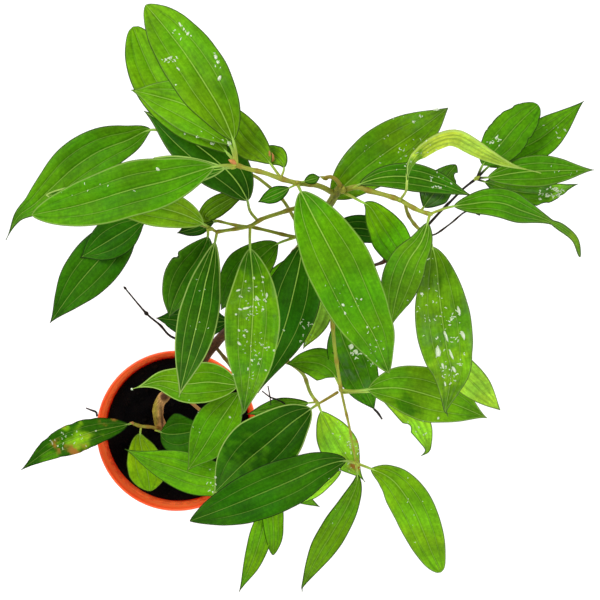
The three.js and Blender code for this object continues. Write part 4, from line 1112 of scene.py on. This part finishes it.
def make_soil():
    """The soil: a plug in the pot with a lumpy top, and crumbs that lie on it."""
    bm = turned([*SOIL_SIDE, *((r, SOIL_HEIGHT) for r in SOIL_RINGS)], SOIL_STEPS)
    for vert in bm.verts:
        if vert.co.z > (SOIL_HEIGHT - 0.01) * MM:
            vert.co.z = soil_top(vert.co.x / MM, vert.co.y / MM) * MM
    piece("soil_plug", bm, [soil_dark], ["soil"])
    draw = random.Random(CRUMB_SEED)
    bm = bmesh.new()
    for _ in range(CRUMBS):
        away, angle = CRUMBS_WITHIN * math.sqrt(draw.random()), draw.uniform(0, 2 * math.pi)
        x, y = away * math.cos(angle), away * math.sin(angle)
        size = draw.uniform(*(SMALL_CRUMB if draw.random() < SMALL_CRUMBS_SHARE else LARGE_CRUMB))
        turn = Matrix.Rotation(draw.uniform(0, 6), 4, Vector((draw.random(), draw.random(), 1)).normalized())
        lump = Matrix.Diagonal((size * draw.uniform(0.8, 1.5), size, size * draw.uniform(0.5, 0.9), 1))
        at = Matrix.Translation(Vector((x, y, soil_top(x, y) + size * 0.2)) * MM)
        for vert in bmesh.ops.create_icosphere(bm, subdivisions=1, radius=MM,
                                               matrix=at @ turn @ lump)["verts"]:
            vert.co += Vector([draw.uniform(-0.16, 0.16) * size * MM for _ in range(3)])
    piece("soil_crumbs", bm, [crumb_brown], sharp=30)


# ---------------------------------------------------------------- the stem, the shoots and the leaves

def stem_colour(point):
    """The stem is tan, olive and scarred where it leaves the soil, brown above and greener at the top."""
    spot = seen(point)
    low = 1 - smooth(128, 146, point.z)
    bare = mixed(STEM_OLIVE, STEM_TAN, smooth(155, 161, spot.x))
    scar = 1 - smooth(2.5, 5, (spot - Vector((164, 397))).length)
    split_bark = (1 - smooth(0.5, 1.8, abs(spot.x - 161 - 0.1 * (spot.y - 410)))) * smooth(402, 408, spot.y)
    colour = mixed(STEM_BROWN, mixed(bare, STEM_BROWN * 0.5, max(scar, 0.7 * split_bark)), low)
    return mixed(colour, STEM_UPPER, smooth(230, 330, point.z))


def stem_swell(along, angle):
    """How the stem's skin swells: ripples and knots."""
    ripple = uneven(math.cos(angle) * 1.2, math.sin(angle) * 1.2, along * 0.09)
    fine = uneven(math.cos(angle) * 3, math.sin(angle) * 3, along * 0.3)
    knot = sum(math.exp(-(((along - k) / STEM_KNOT_LENGTH) ** 2)) for k in STEM_KNOTS)
    return 1 + STEM_RIPPLE * ripple + STEM_GRAIN * fine + STEM_KNOT * knot


def make_stem():
    """The stem, with its straight part in the soil and its resting buds."""
    trail = Trail(STEM_PATH)
    foot = place(*STEM_PATH[0])
    stations = [(Vector((foot.x, foot.y, z)), STEM_FOOT_RADIUS, STEM_BROWN) for z in STEM_ROOTED]
    count = round(trail.length / STEM_SPACING)
    for share in (i / count for i in range(count + 1)):
        radius = mixed(STEM_FOOT_RADIUS, STEM_TOP_RADIUS, share)
        stations.append((trail.at(share * trail.length)[0], radius, STEM_BROWN))
    bm = new_bmesh("grain")
    add_rod(bm, stations, STEM_SIDES, stem_swell, stem_colour)
    for spot, length in STEM_BUDS:
        add_bud(bm, place(*spot) + Vector((2.2, 2.2, 2.0)), (0.7, 0.6, 0.5), length, 2.3, STEM_BROWN * 0.6)
    bmesh.ops.recalc_face_normals(bm, faces=bm.faces)
    piece("woody_stem", bm, [stem_bark], ["stem"])


def make_dry_twig():
    """The dead twig low on the stem, with its dry buds."""
    bm = new_bmesh("grain")
    add_twig(bm, DRY_TWIG, 1.15, 0.5, (DEAD * 1.3, DEAD * 0.7), TWIG_SIDES, spacing=1.6, seed=5,
             knots=DRY_TWIG_KNOTS)
    for spot, *bud in DRY_BUDS:
        add_bud(bm, place(*spot), *bud, DEAD)
    bmesh.ops.recalc_face_normals(bm, faces=bm.faces)
    piece("dead_twig", bm, [dead_bark], ["dry_twig"])


def make_shoot(node, first, leaves, twigs=(), tones=(TWIG_OLIVE, TWIG_GREEN), buds=(), spurs=()):
    """The leaves of one shoot as one piece, and its twigs, stalks, buds and spurs as another."""
    leaf_bm = new_bmesh("blade", "spread", "lines")
    sticks = new_bmesh("grain")
    for number, leaf in enumerate(leaves, first):
        add_blade(leaf_bm, leaf, number)
        add_stalk(sticks, leaf, tones[1])
    for number, (start, end, *path) in enumerate(twigs, first):
        add_twig(sticks, path, start, end, tones, TWIG_SIDES, spacing=2.0, seed=number, knots=TWIG_KNOTS)
    for spot, *bud in buds:
        add_bud(sticks, place(*spot), *bud)
    for start, end, colour, *path in spurs:
        add_twig(sticks, path, start, end, (colour, colour), SPUR_SIDES, spacing=1.5, seed=3, knots=(0.5,))
    bmesh.ops.recalc_face_normals(sticks, faces=sticks.faces)
    blades = piece(node + "_leaves", leaf_bm, [leaf_upper, leaf_under, leaf_edge], [node])
    thick = blades.modifiers.new("blade_thickness", "SOLIDIFY")
    thick.thickness, thick.offset = BLADE_THICKNESS * MM, 0.0
    thick.material_offset, thick.material_offset_rim = 1, 2
    piece(node + "_twigs", sticks, [green_twig], [node])
    return blades


def make_drops(leafy):
    """Water on the leaves: each drop is put where the view from above meets a leaf."""
    corners, faces = [], []
    for thing in leafy:
        base = len(corners)
        corners += [v.co.copy() for v in thing.data.vertices]
        faces += [[base + i for i in p.vertices] for p in thing.data.polygons]
    skin = BVHTree.FromPolygons(corners, faces)
    eye = Vector((*VIEW_PLACE, VIEW_HEIGHT)) * MM
    draw = random.Random(DROP_SEED)
    ball = bmesh.new()
    bmesh.ops.create_uvsphere(ball, u_segments=8, v_segments=4, radius=1)
    one_drop = mesh_from("one_drop", ball)
    bm = bmesh.new()

    def put(column, row, size, stretch=1.0, degrees=0.0):
        toward = (place(column, row, 0) * MM - eye).normalized()
        at, normal, _, _ = skin.ray_cast(eye, toward)
        if at is None:
            return
        if normal.z < 0:
            normal = -normal
        around = Matrix.Rotation(math.radians(-degrees), 3, "Z") @ Vector((1, 0, 0))
        long_way = (around - normal * around.dot(normal)).normalized()
        turn = Matrix((long_way, normal.cross(long_way), normal)).transposed()
        start = len(bm.verts)
        bm.from_mesh(one_drop)
        bm.verts.ensure_lookup_table()
        for vert in bm.verts[start:]:
            x, y, z = vert.co
            swell = size * (1 + 0.7 * uneven(x * 0.9 + column, y * 0.9 + row, size))
            drop = turn @ Vector((x * stretch, y, z * DROP_FLATNESS)) * swell
            vert.co = at + (drop + normal * (BLADE_THICKNESS / 2 + size * DROP_RAISED)) * MM

    for spot in SINGLE_DROPS:
        put(*spot)
    for column, row, wide, tall, count, small, large in DROP_PATCHES:
        for _ in range(count):
            away, angle = math.sqrt(draw.random()), draw.uniform(0, 2 * math.pi)
            across, down = column + wide * away * math.cos(angle), row + tall * away * math.sin(angle)
            heading = draw.uniform(0, 360)
            for _ in range(draw.choice((1, 2, 3, 4))):
                size = draw.uniform(small, large) * SMALL_DROP_SHARE
                put(across, down, size, SMALL_DROP_STRETCH, heading)
                heading += draw.uniform(-75, 75)
                across += SMALL_DROP_STRETCH * size / CROWN_SCALE * math.cos(math.radians(heading))
                down += SMALL_DROP_STRETCH * size / CROWN_SCALE * math.sin(math.radians(heading))
    bmesh.ops.recalc_face_normals(bm, faces=bm.faces)
    piece("water_drops", bm, [water])


make_pot()
make_soil()
make_stem()
make_dry_twig()
foliage = []
for node_name, shoot in SHOOTS.items():
    foliage.append(make_shoot(node_name, NUMBERS_PER_SHOOT * len(foliage), **shoot))
make_drops(foliage)


# ---------------------------------------------------------------- the studio

def add_softbox(name, at, aim, size, power):
    """A round lamp at one place, turned to another."""
    data = bpy.data.lights.new(name, "AREA")
    data.shape, data.size, data.energy = "DISK", size, power
    lamp = in_scene(name, data)
    lamp.location = at
    lamp.rotation_euler = (Vector(aim) - Vector(at)).to_track_quat("-Z", "Y").to_euler()


add_softbox("key_softbox", (-0.85, 0.80, 1.65), (0.1, 0.1, 0.3), 0.8, 17)
add_softbox("wide_softbox", (1.1, -0.7, 1.7), (0.1, 0.1, 0.25), 1.4, 9)
for side_name, degrees in (("left", 170), ("right", 20), ("front", 285)):
    beside = Vector((math.cos(math.radians(degrees)), math.sin(math.radians(degrees)), 0)) * 1.75
    add_softbox(side_name + "_fill_softbox", Vector((0.1, 0.1, 1.25)) + beside, (0.1, 0.1, 0.2), 1.6, 12)

world = bpy.data.worlds.new("pale_studio")
world.use_nodes = True
background = world.node_tree.nodes["Background"].inputs
plug(WHITE, background["Color"])
straight = add_node(world.node_tree, "LightPath", out="Is Camera Ray")
plug(calc("MULTIPLY_ADD", straight, STUDIO_EXTRA, STUDIO_LIGHT), background["Strength"])
bpy.context.scene.world = world
bpy.context.scene.view_settings.view_transform = "Standard"

ground = bmesh.new()
just_under = Matrix.Translation((0, 0, -0.2 * MM))
bmesh.ops.create_grid(ground, x_segments=8, y_segments=8, size=20, matrix=just_under)
studio_floor = in_scene("studio_floor", mesh_from("studio_floor", ground))
studio_floor.data.materials.append(floor_finish())

camera_data = bpy.data.cameras.new("view_from_above")
camera_data.lens, camera_data.sensor_width = VIEW_LENS, VIEW_SENSOR
camera = in_scene("view_from_above", camera_data)
camera.location = Vector((*VIEW_PLACE, VIEW_HEIGHT)) * MM
bpy.context.scene.camera = camera
